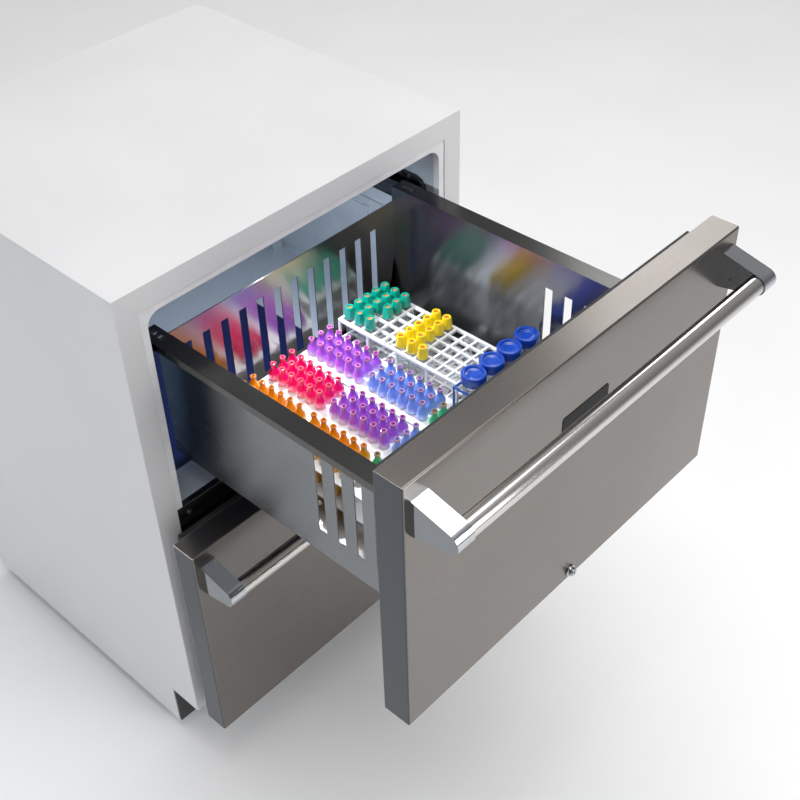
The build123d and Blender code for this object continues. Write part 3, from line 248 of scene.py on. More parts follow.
class Finish:
    """A material with a principled shader and a few ways to add detail to it."""

    def __init__(self, name, colour, rough, metal=0.0):
        self.material = bpy.data.materials.new(name)
        self.material.use_nodes = True
        self.tree = self.material.node_tree
        self.shader = self.tree.nodes["Principled BSDF"]
        self.shader.inputs["Base Color"].default_value = (*colour[:3], 1.0)
        self.shader.inputs["Roughness"].default_value = rough
        self.shader.inputs["Metallic"].default_value = metal
        self.coords = self.tree.nodes.new("ShaderNodeTexCoord")

    def noise(self, scale, stretch=(1.0, 1.0, 1.0), detail=4.0, turn=(0.0, 0.0, 0.0)):
        """A noise field on the piece's own coordinates, stretched to make grain."""
        mapping = self.tree.nodes.new("ShaderNodeMapping")
        mapping.inputs["Scale"].default_value = stretch
        mapping.inputs["Rotation"].default_value = turn
        field = self.tree.nodes.new("ShaderNodeTexNoise")
        field.inputs["Scale"].default_value = scale
        field.inputs["Detail"].default_value = detail
        self.tree.links.new(self.coords.outputs["Object"], mapping.inputs["Vector"])
        self.tree.links.new(mapping.outputs["Vector"], field.inputs["Vector"])
        return field.outputs["Fac"]

    def spread(self, field, low, high, start=0.3, end=0.7):
        """Maps a field from start..end to low..high."""
        node = self.tree.nodes.new("ShaderNodeMapRange")
        node.inputs["From Min"].default_value = start
        node.inputs["From Max"].default_value = end
        node.inputs["To Min"].default_value = low
        node.inputs["To Max"].default_value = high
        self.tree.links.new(field, node.inputs["Value"])
        return node.outputs["Result"]

    def colours(self, field, stops):
        """Colours along a field, as (position, colour) stops."""
        ramp = self.tree.nodes.new("ShaderNodeValToRGB")
        band = ramp.color_ramp
        while len(band.elements) < len(stops):
            band.elements.new(0.5)
        for element, (position, colour) in zip(band.elements, stops):
            element.position = position
            element.color = (*colour[:3], 1.0)
        self.tree.links.new(field, ramp.inputs["Fac"])
        return ramp.outputs["Color"]

    def height(self, axis="Z"):
        """The object coordinate along one axis."""
        split = self.tree.nodes.new("ShaderNodeSeparateXYZ")
        self.tree.links.new(self.coords.outputs["Object"], split.inputs["Vector"])
        return split.outputs[axis]

    def times(self, first, second):
        """The product of two fields."""
        node = self.tree.nodes.new("ShaderNodeMath")
        node.operation = "MULTIPLY"
        self.tree.links.new(first, node.inputs[0])
        self.tree.links.new(second, node.inputs[1])
        return node.outputs[0]

    def bump(self, field, strength, distance=0.001):
        """Small relief from a field, stacked on any relief already there."""
        node = self.tree.nodes.new("ShaderNodeBump")
        node.inputs["Strength"].default_value = strength
        node.inputs["Distance"].default_value = distance
        socket = self.shader.inputs["Normal"]
        if socket.is_linked:
            self.tree.links.new(socket.links[0].from_socket, node.inputs["Normal"])
        self.tree.links.new(field, node.inputs["Height"])
        self.tree.links.new(node.outputs["Normal"], socket)

    def set(self, socket, value):
        """A constant, or a field, on one of the shader's sockets."""
        if isinstance(value, bpy.types.NodeSocket):
            self.tree.links.new(value, self.shader.inputs[socket])
        else:
            self.shader.inputs[socket].default_value = value
        return self


def brushed(name, colour, rough, grain, contrast=0.12, streak=2.0, spread=0.35, scratch=0.05):
    """Brushed stainless steel: long fine lines along one axis, soft wiping marks, highlights spread across them."""
    f = Finish(name, colour, rough, 1.0)
    stretch = {"X": (0.01, 1.0, 1.0), "Y": (1.0, 0.01, 1.0), "Z": (1.0, 1.0, 0.01)}[grain]
    lines = f.noise(1400.0, stretch, 3.0)
    broad = f.noise(120.0, stretch, 2.0)
    wiped = f.noise(3.0, (1.0, 1.0, 1.0), 3.0)
    dark = tuple(c * (1 - contrast) for c in colour[:3])
    light = tuple(min(1.0, c * (1 + contrast)) for c in colour[:3])
    f.set("Base Color", f.colours(broad, [(0.32, dark), (0.68, light)]))
    mix = f.tree.nodes.new("ShaderNodeMath")
    mix.operation = "MULTIPLY_ADD"
    f.tree.links.new(f.spread(wiped, -0.05, 0.07), mix.inputs[0])
    mix.inputs[1].default_value = 1.0
    f.tree.links.new(f.spread(lines, rough - scratch, rough + scratch), mix.inputs[2])
    f.set("Roughness", mix.outputs[0])
    f.set("Anisotropic", spread)
    across = f.tree.nodes.new("ShaderNodeCombineXYZ")
    for axis, value in zip("XYZ", {"X": (0.001, 0.02, 1.0), "Y": (0.02, 0.001, 1.0), "Z": (1.0, 0.9, 0.01)}[grain]):
        across.inputs[axis].default_value = value
    f.set("Tangent", across.outputs["Vector"])
    if streak:
        f.bump(lines, 0.04 * streak, 0.0001)
    return f.material


def enamel(name, colour, rough):
    """Powder-coated sheet: a satin skin with fine orange peel and a trace of handling."""
    f = Finish(name, colour, rough)
    peel = f.noise(900.0, detail=2.0)
    cloud = f.noise(5.0, detail=5.0)
    shade = tuple(c * 0.965 for c in colour[:3])
    f.set("Base Color", f.colours(cloud, [(0.35, shade), (0.65, colour)]))
    f.set("Roughness", f.spread(cloud, rough - 0.04, rough + 0.06))
    f.set("Coat Weight", 0.15)
    f.set("Coat Roughness", 0.25)
    f.bump(peel, 0.05, 0.0003)
    return f.material


def moulded(name, colour, rough, peel=0.08, glow=0.0, coat=0.0):
    """Moulded plastic: faint mould texture, slight clouding, optional depth of colour."""
    f = Finish(name, colour, rough)
    cloud = f.noise(35.0, detail=4.0)
    grain = f.noise(1500.0, detail=2.0)
    shade = tuple(c * 0.88 for c in colour[:3])
    f.set("Base Color", f.colours(cloud, [(0.3, shade), (0.7, colour)]))
    f.set("Roughness", f.spread(cloud, rough - 0.04, rough + 0.05))
    f.set("Coat Weight", coat)
    f.set("Coat Roughness", 0.08)
    if glow:
        f.set("Subsurface Weight", glow)
        f.set("Subsurface Radius", (0.004, 0.004, 0.004))
    f.bump(grain, peel, 0.0002)
    return f.material


def polished(name, colour, rough):
    """Plated metal: mirror bright, with hairline swirls and light clouding."""
    f = Finish(name, colour, rough, 1.0)
    hair = f.noise(600.0, (1.0, 0.15, 1.0), 5.0)
    cloud = f.noise(40.0, detail=3.0)
    shade = tuple(c * 0.93 for c in colour[:3])
    f.set("Base Color", f.colours(cloud, [(0.3, shade), (0.7, colour)]))
    f.set("Roughness", f.spread(hair, max(0.0, rough - 0.03), rough + 0.05))
    f.bump(hair, 0.012, 0.0002)
    return f.material


def tinted_vial(name, base, top, low, high):
    """Glossy translucent plastic, paler towards the bottom, deep in colour at the neck."""
    f = Finish(name, top, 0.16)
    level = f.spread(f.height("Z"), 0.0, 1.0, low, high)
    f.set("Base Color", f.colours(level, [(0.05, base), (0.22, tuple((a + b) / 2 for a, b in zip(base, top))),
                                          (0.45, top)]))
    swirl = f.noise(300.0, detail=3.0)
    f.set("Roughness", f.spread(swirl, 0.12, 0.24))
    f.set("Subsurface Weight", 0.12)
    f.set("Subsurface Radius", (0.004, 0.004, 0.004))
    f.set("Coat Weight", 0.6)
    f.set("Coat Roughness", 0.06)
    f.bump(swirl, 0.06, 0.0003)
    return f.material


def clear_plastic(name, colour):
    """Clear tube wall with faint moulding waves."""
    f = Finish(name, colour, 0.08)
    wave = f.noise(150.0, (1.0, 1.0, 0.2), 3.0)
    f.set("Roughness", f.spread(wave, 0.05, 0.16))
    f.set("Transmission Weight", 0.85)
    f.set("IOR", 1.35)
    f.set("Alpha", 0.55)
    f.bump(wave, 0.08, 0.0004)
    return f.material


def rubbery(name, colour):
    """Soft extruded gasket or rubber: matt with fine drag lines."""
    f = Finish(name, colour, 0.6)
    drag = f.noise(700.0, (0.1, 0.1, 1.0), 4.0)
    shade = tuple(min(1.0, c * 1.5 + 0.004) for c in colour[:3])
    f.set("Base Color", f.colours(drag, [(0.3, colour), (0.7, shade)]))
    f.set("Roughness", f.spread(drag, 0.5, 0.72))
    f.bump(drag, 0.15, 0.0003)
    return f.material


def liner_floor(name, pale, shadow_colour, right, front, back):
    """Pale liner floor with a painted shadow: a dark patch, left of right along X and from front to back along Y,
    where shade falls.
    """
    f = Finish(name, shadow_colour, 0.35)
    grain = f.noise(400.0, detail=3.0)
    seam = 0.002
    depth = f.height("Y")
    inside = f.times(f.spread(depth, 0.0, 1.0, front, front + seam), f.spread(depth, 1.0, 0.0, back, back + seam))
    inside = f.times(inside, f.spread(f.height("X"), 1.0, 0.0, right, right + seam))
    # painted shadow: dark navy inside the patch, pale liner colour outside it
    f.set("Base Color", f.colours(inside, [(0.0, pale), (1.0, shadow_colour)]))
    f.set("Roughness", f.spread(grain, 0.28, 0.42))
    f.bump(grain, 0.05, 0.0003)
    return f.material


def zinc_sheet(name, colour, rough):
    """Zinc-coated sheet with its spangle."""
    f = Finish(name, colour, rough, 0.9)
    cells = f.tree.nodes.new("ShaderNodeTexVoronoi")
    cells.inputs["Scale"].default_value = 150.0
    f.tree.links.new(f.coords.outputs["Object"], cells.inputs["Vector"])
    shade = tuple(c * 0.9 for c in colour[:3])
    f.set("Base Color", f.colours(cells.outputs["Color"], [(0.2, shade), (0.8, colour)]))
    f.set("Roughness", f.spread(cells.outputs["Distance"], rough - 0.06, rough + 0.1, 0.0, 0.6))
    f.bump(f.noise(500.0), 0.05, 0.0002)
    return f.material


def shader_of(material):
    """The shader of a finished material."""
    return material.node_tree.nodes["Principled BSDF"]


FINISHES = {}


def finish(key):
    """The scene's shared materials, each made once."""
    if not FINISHES:
        sizes = bpy.context.scene.fridge_looks
        white = tuple(sizes.cabinet_colour)
        steel = tuple(sizes.front_colour)
        FINISHES.update({
            "enamel": enamel("white_powder_coat", white, sizes.enamel_roughness),
            "trim": moulded("white_trim_plastic", (0.84, 0.84, 0.85), 0.35, 0.04),
            "liner": moulded("liner_plastic", (0.55, 0.6, 0.65), 0.3, 0.02, coat=0.15),
            "duct": moulded("duct_plastic", (0.5, 0.55, 0.6), 0.4, 0.04),
            # painted shade: a darker, bluer copy of the duct plastic for the left side of the interior
            "duct_left": moulded("duct_plastic_painted_shade", (0.22, 0.3, 0.42), 0.4, 0.04),
            # painted shadow: a dark navy patch let into the upper liner's floor where shade falls
            "floor_painted_shadow": liner_floor("liner_floor_painted_shadow", (0.5, 0.54, 0.6), (0.008, 0.014, 0.08), 0.115, 0.034, 0.282),
            "front": brushed("brushed_front_steel", steel, 0.27, "X", 0.01, 0.0, 0.5, 0.012),
            # painted dark reflection: the side returns of the fronts take a far darker copy of the front steel
            "front_side_painted_dark": brushed("return_steel_painted_dark_reflection", (0.075, 0.083, 0.092), 0.3, "Z", 0.01, 0.0, 0.5, 0.012),
            # painted highlight: near-white metal on the fronts' rounded edges
            "front_edge": polished("painted_highlight_edge", (1.0, 0.99, 0.97), 0.5),
            "bar": brushed("handle_bar_steel", (0.6, 0.58, 0.56), 0.15, "X", 0.01, 0.0, 0.0, 0.012),
            # painted dark reflection: a darker copy of the chrome for the brackets' side faces
            "cheek": polished("plating_painted_dark_sides", (0.24, 0.255, 0.27), 0.06),
            "box": brushed("bright_box_steel", (0.3, 0.305, 0.315), 0.17, "Y", 0.01, 0.05, 0.8, 0.012),
            # painted dark reflection: darker copies of the box steel for the outward walls and the rail tops
            "box_out": brushed("outer_box_steel_painted_dark_reflection", (0.22, 0.23, 0.24), 0.24, "Y", 0.01, 0.0, 0.7, 0.012),
            "rail": brushed("rail_tops_painted_dark_reflection", (0.1, 0.1, 0.097), 0.2, "Y", 0.01, 0.0, 0.6, 0.012),
            # painted reflection: a lighter, pinker copy of the box steel for the pan, standing in for the vials and
            # light it mirrors
            "box_back": brushed("back_steel_painted_reflection", (0.34, 0.32, 0.3), 0.2, "X", 0.01, 0.05, 0.75, 0.012),
            "chrome": polished("bright_plating", (0.52, 0.54, 0.57), 0.05),
            "screw": polished("zinc_screw", (0.62, 0.62, 0.63), 0.28),
            "slide": brushed("dark_slide_steel", (0.16, 0.165, 0.175), 0.25, "Y", 0.1, 1.5),
            "track": moulded("black_slide_coat", (0.015, 0.015, 0.018), 0.3, 0.05, coat=0.3),
            "panel": enamel("inner_panel_coat", (0.62, 0.63, 0.64), 0.35),
            "gasket": rubbery("gasket_rubber", (0.018, 0.018, 0.02)),
            "gloss_black": moulded("gloss_black_trim", (0.006, 0.006, 0.007), 0.1, 0.02, coat=0.8),
            "display": moulded("display_window", (0.002, 0.002, 0.003), 0.3, 0.01),
            "black": enamel("black_coat", (0.02, 0.02, 0.022), 0.4),
            "foot": rubbery("foot_rubber", (0.03, 0.03, 0.03)),
            "zinc": zinc_sheet("zinc_sheet", (0.6, 0.61, 0.62), 0.35),
            "fins": brushed("fin_aluminium", (0.7, 0.71, 0.72), 0.3, "Z", 0.12, 2.0),
            "foam": moulded("insulation_foam", (0.8, 0.7, 0.42), 0.8, 0.4),
            "lamp": moulded("lamp_lens", (0.92, 0.95, 1.0), 0.3, 0.05, 0.3),
            "rack": moulded("white_rack_plastic", (0.93, 0.93, 0.94), 0.35, 0.05, 0.15),
            "green_stopper": moulded("green_stopper", (0.0, 0.36, 0.26), 0.3, 0.08, 0.1, 0.25),
            "yellow_stopper": moulded("yellow_stopper", (0.97, 0.74, 0.01), 0.3, 0.08, 0.1, 0.25),
            "core": rubbery("stopper_core", (0.4, 0.1, 0.02)),
            "cap": moulded("blue_cap", (0.005, 0.07, 0.52), 0.18, 0.05, 0.05, 0.6),
            "wire": moulded("blue_wire_coat", (0.01, 0.1, 0.55), 0.25, 0.03, 0.0, 0.4),
            "clear": clear_plastic("clear_tube", (0.9, 0.93, 0.95)),
        })
        shader_of(FINISHES["display"]).inputs["Specular IOR Level"].default_value = 0.08
        shader_of(FINISHES["lamp"]).inputs["Emission Color"].default_value = (0.8, 0.9, 1, 1)
        shader_of(FINISHES["lamp"]).inputs["Emission Strength"].default_value = 3.0
    return FINISHES[key]


def coat(node, key):
    """Gives a CAD node that keeps its shape a finish."""
    mesh = NODES[node].data
    mesh.materials.clear()
    mesh.materials.append(finish(key))


# ---------------------------------------------------------------------------
# settings
# ---------------------------------------------------------------------------

class FridgeLooks(bpy.types.PropertyGroup):
    """Colours and sizes that a user may change before building."""
    cabinet_colour: FloatVectorProperty(name="Cabinet colour", description="Powder coat of the cabinet",
                                        subtype="COLOR", size=3, default=(0.695, 0.695, 0.7), min=0, max=1)
    front_colour: FloatVectorProperty(name="Front colour", description="Steel tone of the drawer fronts",
                                      subtype="COLOR", size=3, default=(0.215, 0.198, 0.184), min=0, max=1)
    enamel_roughness: FloatProperty(name="Coat roughness", description="Roughness of the cabinet's powder coat",
                                    default=0.34, min=0.05, max=1.0, subtype="FACTOR")
    cabinet_edge: FloatProperty(name="Cabinet edge radius", description="Rounding of the folded cabinet edges",
                                default=0.0025, min=0.0002, max=0.006, unit="LENGTH")
    front_edge: FloatProperty(name="Front edge radius", description="Rounding of the drawer fronts' folded edges",
                              default=0.0018, min=0.0002, max=0.004, unit="LENGTH")
    key_light: FloatProperty(name="Key light", description="Power of the large overhead softbox in watts",
                             default=10.0, min=0.0, max=500.0)


# ---------------------------------------------------------------------------
# operators
# ---------------------------------------------------------------------------

class FRIDGE_OT_cabinet(bpy.types.Operator):
    """Folded white sheets of the cabinet with rounded edges, the trims and the mullion"""
    bl_idname = "fridge.cabinet"
    bl_label = "Cabinet"

    def execute(self, context):
        edge = context.scene.fridge_looks.cabinet_edge
        for node in ("cabinet_side_left", "cabinet_side_right", "cabinet_top", "cabinet_sill"):
            share = 0.5 if node == "cabinet_sill" else 0.55
            softened(node, edge * share, finish("enamel"), "cabinet")
        softened("opening_trims", 0.0008, finish("trim"), "cabinet")
        softened("mullion", 0.0012, finish("gloss_black"), "cabinet")
        coat("cabinet_screws", "screw")
        coat("lock_strike", "screw")
        coat("cabinet_back", "zinc")
        coat("base_pan", "zinc")
        coat("kick_grille", "black")
        coat("power_inlet", "black")
        coat("insulation", "foam")
        return {"FINISHED"}


class FRIDGE_OT_interior(bpy.types.Operator):
    """Liners, ducts, lamp, evaporator and the slide tracks"""
    bl_idname = "fridge.interior"
    bl_label = "Interior"

    def execute(self, context):
        floor_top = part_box("upper_liner")[0].z + 0.05
        # the upper liner's upward floor faces take the painted shadow patch
        zoned(softened("upper_liner", 0.0015, finish("liner"), "cabinet"),
              (finish("floor_painted_shadow"), lambda centres, normals: (normals[:, 2] > STEEP) & (centres[:, 2] < floor_top)))
        softened("lower_liner", 0.0003, finish("liner"), "cabinet")
        # the left half of the ducts takes the painted shade
        zoned(softened("wall_ducts", 0.001, finish("duct"), "cabinet"),
              (finish("duct_left"), lambda centres, normals: centres[:, 0] < 0))
        softened("evaporator_cover", 0.0012, finish("liner"), "cabinet")
        coat("evaporator_coil", "fins")
        coat("evaporator_fan", "black")
        coat("interior_light", "lamp")
        softened("slide_tracks", 0.0003, finish("track"), "cabinet")
        return {"FINISHED"}


class FRIDGE_OT_machinery(bpy.types.Operator):
    """Compressor, condenser and fans behind the rear sheet"""
    bl_idname = "fridge.machinery"
    bl_label = "Machinery"

    def execute(self, context):
        coat("compressor", "black")
        coat("condenser_coil", "fins")
        coat("condenser_fan", "black")
        coat("condenser_fan_motor", "zinc")
        for node in ("foot_front_left", "foot_front_right", "foot_rear_left", "foot_rear_right"):
            coat(node, "foot")
        return {"FINISHED"}


class FRIDGE_OT_fronts(bpy.types.Operator):
    """Brushed drawer fronts with a painted dark reflection on their side returns and a painted highlight on their
    rounded edges, their inner panels and gaskets, the display and the lock
    """
    bl_idname = "fridge.fronts"
    bl_label = "Drawer fronts"

    def execute(self, context):
        edge = context.scene.fridge_looks.front_edge
        for side in ("upper", "lower"):
            body = side + "_drawer"
            # side returns get the painted dark reflection, the rounded edges the painted highlight
            skin = zoned(softened(side + "_front_skin", edge * 0.85, finish("front"), body, 3),
                         (finish("front_side_painted_dark"), lambda centres, normals: np.abs(normals[:, 0]) > STEEP))
            painted_highlight_edges(skin, finish("front_edge"))
            softened(side + "_front_panel", 0.001, finish("panel"), body)
            softened(side + "_gasket", 0.0012, finish("gasket"), body)
        softened("display_window", 0.0006, finish("display"), "upper_drawer")
        softened("lock_barrel", 0.0006, finish("chrome"), "upper_drawer")
        softened("lock_plug", 0.0003, finish("chrome"), "lock_cylinder")
        return {"FINISHED"}


class FRIDGE_OT_handles(bpy.types.Operator):
    """Tubular handle bars and their plated brackets"""
    bl_idname = "fridge.handles"
    bl_label = "Handles"

    def execute(self, context):
        for side in ("upper", "lower"):
            body = side + "_drawer"
            # the bracket faces that face along X take the painted dark reflection
            zoned(softened(side + "_handle_brackets", 0.0016, finish("chrome"), body, 3, 30.0),
                  (finish("cheek"), lambda centres, normals: np.abs(normals[:, 0]) > STEEP))
            coat(side + "_handle_bar", "bar")
        return {"FINISHED"}


class FRIDGE_OT_boxes(bpy.types.Operator):
    """Slotted steel drawer boxes with their rails and runners"""
    bl_idname = "fridge.boxes"
    bl_label = "Drawer boxes"

    def execute(self, context):
        for side in ("upper", "lower"):
            body = side + "_drawer"
            rail_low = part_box(side + "_box_sides")[1].z - 0.022
            # inner faces keep the lighter steel; outward faces and rail tops take the painted dark reflection
            zoned(softened(side + "_box_sides", 0.0005, finish("box"), body),
                  (finish("box_out"), lambda centres, normals: normals[:, 0] * np.sign(centres[:, 0]) > STEEP),
                  (finish("rail"), lambda centres, normals: centres[:, 2] > rail_low))
            softened(side + "_box_pan", 0.0005, finish("box_back"), body)
            softened(side + "_slide_caps", 0.0003, finish("slide"), body)
            softened(side + "_slide_runners", 0.0003, finish("slide"), side + "_runners")
        return {"FINISHED"}


class FRIDGE_OT_samples(bpy.types.Operator):
    """Racks with their vials, stoppered tubes and screw-cap tubes"""
    bl_idname = "fridge.samples"
    bl_label = "Samples"

    def execute(self, context):
        softened("vial_racks", 0.0004, finish("rack"), "upper_drawer")
        softened("tube_rack", 0.0004, finish("rack"), "upper_drawer")
        low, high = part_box("vials_amber")
        shades = {
            "vials_amber": ((0.95, 0.55, 0.1), (0.78, 0.3, 0.0), (0.7, 0.25, 0.05)),
            "vials_red": ((1.0, 0.35, 0.5), (0.85, 0.0, 0.16), (0.85, 0.12, 0.22)),
            "vials_purple": ((0.82, 0.68, 0.98), (0.4, 0.1, 0.66), (0.7, 0.22, 0.42)),
            "vials_blue": ((0.62, 0.72, 0.98), (0.2, 0.33, 0.82), (0.6, 0.3, 0.42)),
            "vials_green": ((0.4, 0.9, 0.65), (0.02, 0.48, 0.17), (0.5, 0.22, 0.18)),
        }
        tall = high.z - low.z
        body = np.array([(0, 0), (0.0055, 0), (0.0063, 0.0008), (0.0063, tall - 0.0262), (0.0073, tall - 0.0252),
                         (0.0078, tall - 0.0235), (0.0078, tall - 0.0188), (0.0074, tall - 0.0162),
                         (0.0063, tall - 0.0138), (0.005, tall - 0.0117), (0.0041, tall - 0.0095),
                         (0.0037, tall - 0.007), (0.0036, tall - 0.0016), (0.0025, tall - 0.0016),
                         (0.0024, tall - 0.006), (0, tall - 0.0062)])
        ring = np.array([(0.0025, tall - 0.003), (0.0038, tall - 0.0032), (0.0044, tall - 0.0024),
                         (0.0045, tall - 0.0012), (0.0041, tall - 0.0002), (0.0034, tall), (0.0028, tall - 0.0005),
                         (0.0025, tall - 0.003)])
        for node, (pale, deep, lip) in shades.items():
            places = feet_of(*solids(node))
            tint = tinted_vial(node + "_tint", pale, deep, low.z + RACKED_SHARE * tall, high.z)
            bodies = mesh_of(node + "_bodies", *turned(body, places, 16))
            piece(node + "_bodies", bodies, tint, "upper_drawer", (node,))
            lips = moulded(node + "_lip", lip, 0.25, 0.05, 0.1, 0.3)
            mouths = mesh_of(node + "_mouths", *turned(ring, places, 14))
            piece(node + "_mouths", mouths, lips, "upper_drawer")
        self.tubes()
        self.bottles()
        return {"FINISHED"}

    def tubes(self):
        """Clear tubes under fluted stoppers that have a round pierced core."""
        every = []
        for node, key in (("tubes_green", "green_stopper"), ("tubes_yellow", "yellow_stopper")):
            low, high = solids(node)
            places = feet_of(low, high)
            every.append(places)
            tall = float((high - low)[0, 2])
            skirt = tall - 0.0185
            profile = [(0.0064, skirt), (0.0073, skirt), (0.0076, skirt + 0.0006), (0.0076, skirt + 0.006),
                       (0.0072, skirt + 0.0085), (0.0065, tall - 0.004), (0.0062, tall - 0.0012),
                       (0.0057, tall - 0.0002), (0.005, tall), (0.0041, tall - 0.0002), (0.0036, tall - 0.001),
                       (0.0036, tall - 0.0032)]
            depth = [0, 0.0, 0.035, 0.05, 0.055, 0.05, 0.03, 0, 0, 0, 0, 0]
            mesh = mesh_of(node + "_stoppers", *fluted(profile, depth, 8, places, 48))
            piece(node + "_stoppers", mesh, finish(key), "upper_drawer", (node,))
        places = np.concatenate(every)
        glass = [(0, 0), (0.0025, 0.0004), (0.0048, 0.002), (0.0061, 0.0045), (0.0064, 0.007),
                 (0.0064, skirt + 0.001)]
        piece("clear_tubes", mesh_of("clear_tubes", *turned(glass, places, 20)), finish("clear"), "upper_drawer")
        core = [(0.0037, tall - 0.0035), (0.0036, tall - 0.0022), (0.0026, tall - 0.0018), (0, tall - 0.0022)]
        piece("stopper_cores", mesh_of("stopper_cores", *turned(core, places, 16)), finish("core"), "upper_drawer")

    def bottles(self):
        """Screw-cap tubes with ribbed sunken caps, standing in a wire rack."""
        low, high = solids("bottle_rack")
        span = high - low
        rack = int(np.argmax(span[:, 0]))
        caps = (span[:, 2] < 0.02) & (np.arange(len(span)) != rack)
        walls = ~caps & (np.arange(len(span)) != rack)
        places = feet_of(low[caps], high[caps])
        tall = float(span[caps][0, 2])
        wide = float(span[caps][0, 0]) / 2
        profile = [(wide - 0.0028, 0), (wide - 0.0005, 0), (wide, 0.0006), (wide, tall - 0.0032),
                   (wide - 0.0004, tall - 0.0014), (wide - 0.0014, tall - 0.0003), (wide - 0.0028, tall),
                   (wide - 0.0044, tall - 0.0003), (wide - 0.0053, tall - 0.0014), (wide - 0.0056, tall - 0.0028),
                   (wide - 0.0064, tall - 0.0032), (wide - 0.0094, tall - 0.0031), (wide - 0.0102, tall - 0.0036),
                   (wide - 0.0108, tall - 0.0042), (0, tall - 0.0043)]
        depth = [0, 0, 0.006, 0.008, 0.004] + [0] * (len(profile) - 5)
        mesh = mesh_of("screw_caps", *fluted(profile, depth, 45, places, 180))
        piece("screw_caps", mesh, finish("cap"), "upper_drawer", ("bottle_rack",))
        places = feet_of(low[walls], high[walls])
        reach = float(span[walls][0, 2])
        r = float(span[walls][0, 0]) / 2
        glass = [(0, 0.0002), (0.002, 0.0), (0.003, 0.0006), (r - 0.001, 0.0142), (r, 0.0165), (r, reach)]
        piece("screw_cap_tubes", mesh_of("screw_cap_tubes", *turned(glass, places, 40)), finish("clear"),
              "upper_drawer")
        w = 0.0016
        lo, hi = low[rack] + w, high[rack] - w
        levels = (lo[2], lo[2] + 0.0324, hi[2] - 0.001)
        xs = np.linspace(lo[0] + 0.0012, hi[0] - 0.0012, 5)
        ends = [((lo[0], y, z), (hi[0], y, z)) for y in (lo[1], hi[1]) for z in levels]
        ends += [((x, lo[1], z), (x, hi[1], z)) for x in xs for z in levels]
        ends += [((x, y, lo[2]), (x, y, hi[2])) for x in xs for y in (lo[1], hi[1])]
        piece("wire_rack", mesh_of("wire_rack", *rods(ends, w * 0.95)), finish("wire"), "upper_drawer")


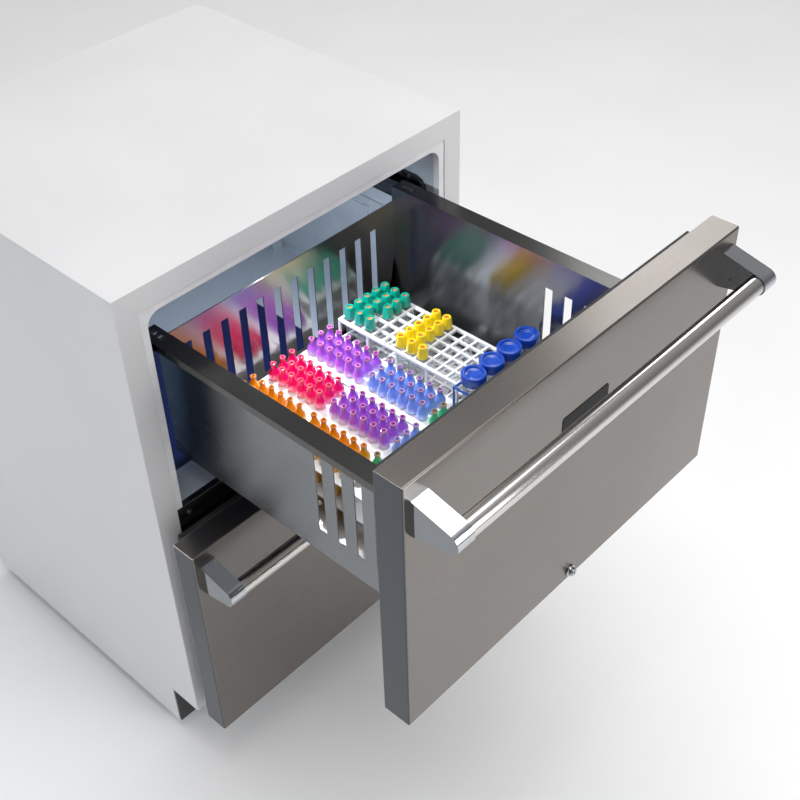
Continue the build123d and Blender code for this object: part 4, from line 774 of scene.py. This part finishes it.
class FRIDGE_OT_stage(bpy.types.Operator):
    """Pale floor, soft lights and the camera"""
    bl_idname = "fridge.stage"
    bl_label = "Stage"

    def execute(self, context):
        scene = context.scene
        size = 30.0
        u = np.linspace(-size / 2, size / 2, 3)
        gx, gy = np.meshgrid(u, u, indexing="ij")
        floor_points = np.stack([gx, gy, np.zeros_like(gx)], axis=-1)
        mesh = mesh_of("floor", floor_points, grid_faces(3, 3, False, False))
        floor = bpy.data.objects.new("floor", mesh)
        scene.collection.objects.link(floor)
        paper = Finish("floor_paper", (0.92, 0.92, 0.92), 0.8)
        cloud = paper.noise(2.0)
        paper.set("Base Color", paper.colours(cloud, [(0.3, (0.9, 0.9, 0.9)), (0.7, (0.94, 0.94, 0.94))]))
        mesh.materials.append(paper.material)

        world = bpy.data.worlds.new("studio")
        world.use_nodes = True
        tree = world.node_tree
        around = tree.nodes.new("ShaderNodeTexCoord")
        split = tree.nodes.new("ShaderNodeSeparateXYZ")
        ramp = tree.nodes.new("ShaderNodeValToRGB")
        tree.links.new(around.outputs["Generated"], split.inputs["Vector"])
        tree.links.new(split.outputs["Z"], ramp.inputs["Fac"])
        tree.links.new(ramp.outputs["Color"], tree.nodes["Background"].inputs["Color"])
        band = ramp.color_ramp
        stops = ((0.0, 0.3), (0.2, 0.2), (0.5, 0.3), (0.72, 0.4), (0.86, 0.9))
        while len(band.elements) < len(stops):
            band.elements.new(0.5)
        for element, (position, level) in zip(band.elements, stops):
            element.position = position
            element.color = (level, level, level * 1.01, 1.0)
        scene.world = world

        def lamp(name, place, aim, width, height, power, colour=(1.0, 1.0, 1.0)):
            light = bpy.data.lights.new(name, "AREA")
            light.shape = "RECTANGLE"
            light.size = width
            light.size_y = height
            light.energy = power
            light.color = colour
            obj = bpy.data.objects.new(name, light)
            scene.collection.objects.link(obj)
            obj.location = place
            obj.rotation_euler = (Vector(aim) - Vector(place)).to_track_quat("-Z", "Y").to_euler()

        key = scene.fridge_looks.key_light
        lamp("overhead_softbox", (0.2, -0.3, 3.0), (0.0, 0.0, 0.5), 2.2, 1.6, key * 3.6)
        lamp("front_softbox", (0.8, -3.0, 1.6), (0.0, -0.4, 0.5), 1.2, 1.8, key * 3.4)
        lamp("left_softbox", (-3.0, 0.4, 1.4), (0.0, 0.0, 0.4), 1.6, 1.6, key * 1.7, (0.88, 0.94, 1.0))
        lamp("far_softbox", (2.9, 1.0, 2.8), (0.2, -0.4, 0.8), 0.9, 1.2, key * 1.2)
        low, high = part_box("interior_light")
        middle = (low + high) / 2
        lamp("cold_interior", (middle.x, middle.y, low.z - 0.002), (middle.x, middle.y, 0.0), 0.012, 0.006, 1.2,
             (0.8, 0.9, 1.0))

        yaw, pitch, roll = (math.radians(a) for a in (46.09, 40.637, -1.7))
        level = Vector((math.sin(yaw), math.cos(yaw), 0.0))
        right = Vector((math.cos(yaw), -math.sin(yaw), 0.0))
        forward = level * math.cos(pitch) + Vector((0, 0, -math.sin(pitch)))
        up = right.cross(forward)
        across = right * math.cos(roll) + up * math.sin(roll)
        upright = -right * math.sin(roll) + up * math.cos(roll)
        camera = bpy.data.cameras.new("camera")
        camera.sensor_width = 36.0
        camera.lens = 55.76
        camera.clip_end = 100.0
        view = bpy.data.objects.new("camera", camera)
        scene.collection.objects.link(view)
        turn = Matrix((across, upright, -forward)).transposed().to_4x4()
        view.matrix_world = Matrix.Translation((-0.8896, -1.04045, 1.6825)) @ turn
        scene.camera = view
        scene.view_settings.view_transform = "Standard"
        return {"FINISHED"}


OPERATORS = (FRIDGE_OT_cabinet, FRIDGE_OT_interior, FRIDGE_OT_machinery, FRIDGE_OT_fronts, FRIDGE_OT_handles,
             FRIDGE_OT_boxes, FRIDGE_OT_samples, FRIDGE_OT_stage)


class FRIDGE_PT_panel(bpy.types.Panel):
    """Lists the refrigerator's pieces and settings"""
    bl_idname = "FRIDGE_PT_panel"
    bl_label = "Refrigerator"
    bl_space_type = "VIEW_3D"
    bl_region_type = "UI"
    bl_category = "Refrigerator"

    def draw(self, context):
        looks = context.scene.fridge_looks
        for name in ("cabinet_colour", "front_colour", "enamel_roughness", "cabinet_edge", "front_edge", "key_light"):
            self.layout.prop(looks, name)
        for operator in OPERATORS:
            self.layout.operator(operator.bl_idname)


CLASSES = (FridgeLooks,) + OPERATORS + (FRIDGE_PT_panel,)


def register():
    """Registers the settings, the operators and the panel."""
    for cls in CLASSES:
        bpy.utils.register_class(cls)
    bpy.types.Scene.fridge_looks = PointerProperty(type=FridgeLooks)


def unregister():
    """Removes them again."""
    del bpy.types.Scene.fridge_looks
    for cls in reversed(CLASSES):
        bpy.utils.unregister_class(cls)


def main():
    """Builds every piece in order."""
    register()
    for operator in OPERATORS:
        group, name = operator.bl_idname.split(".")
        getattr(getattr(bpy.ops, group), name)()


if __name__ == "__main__":
    main()
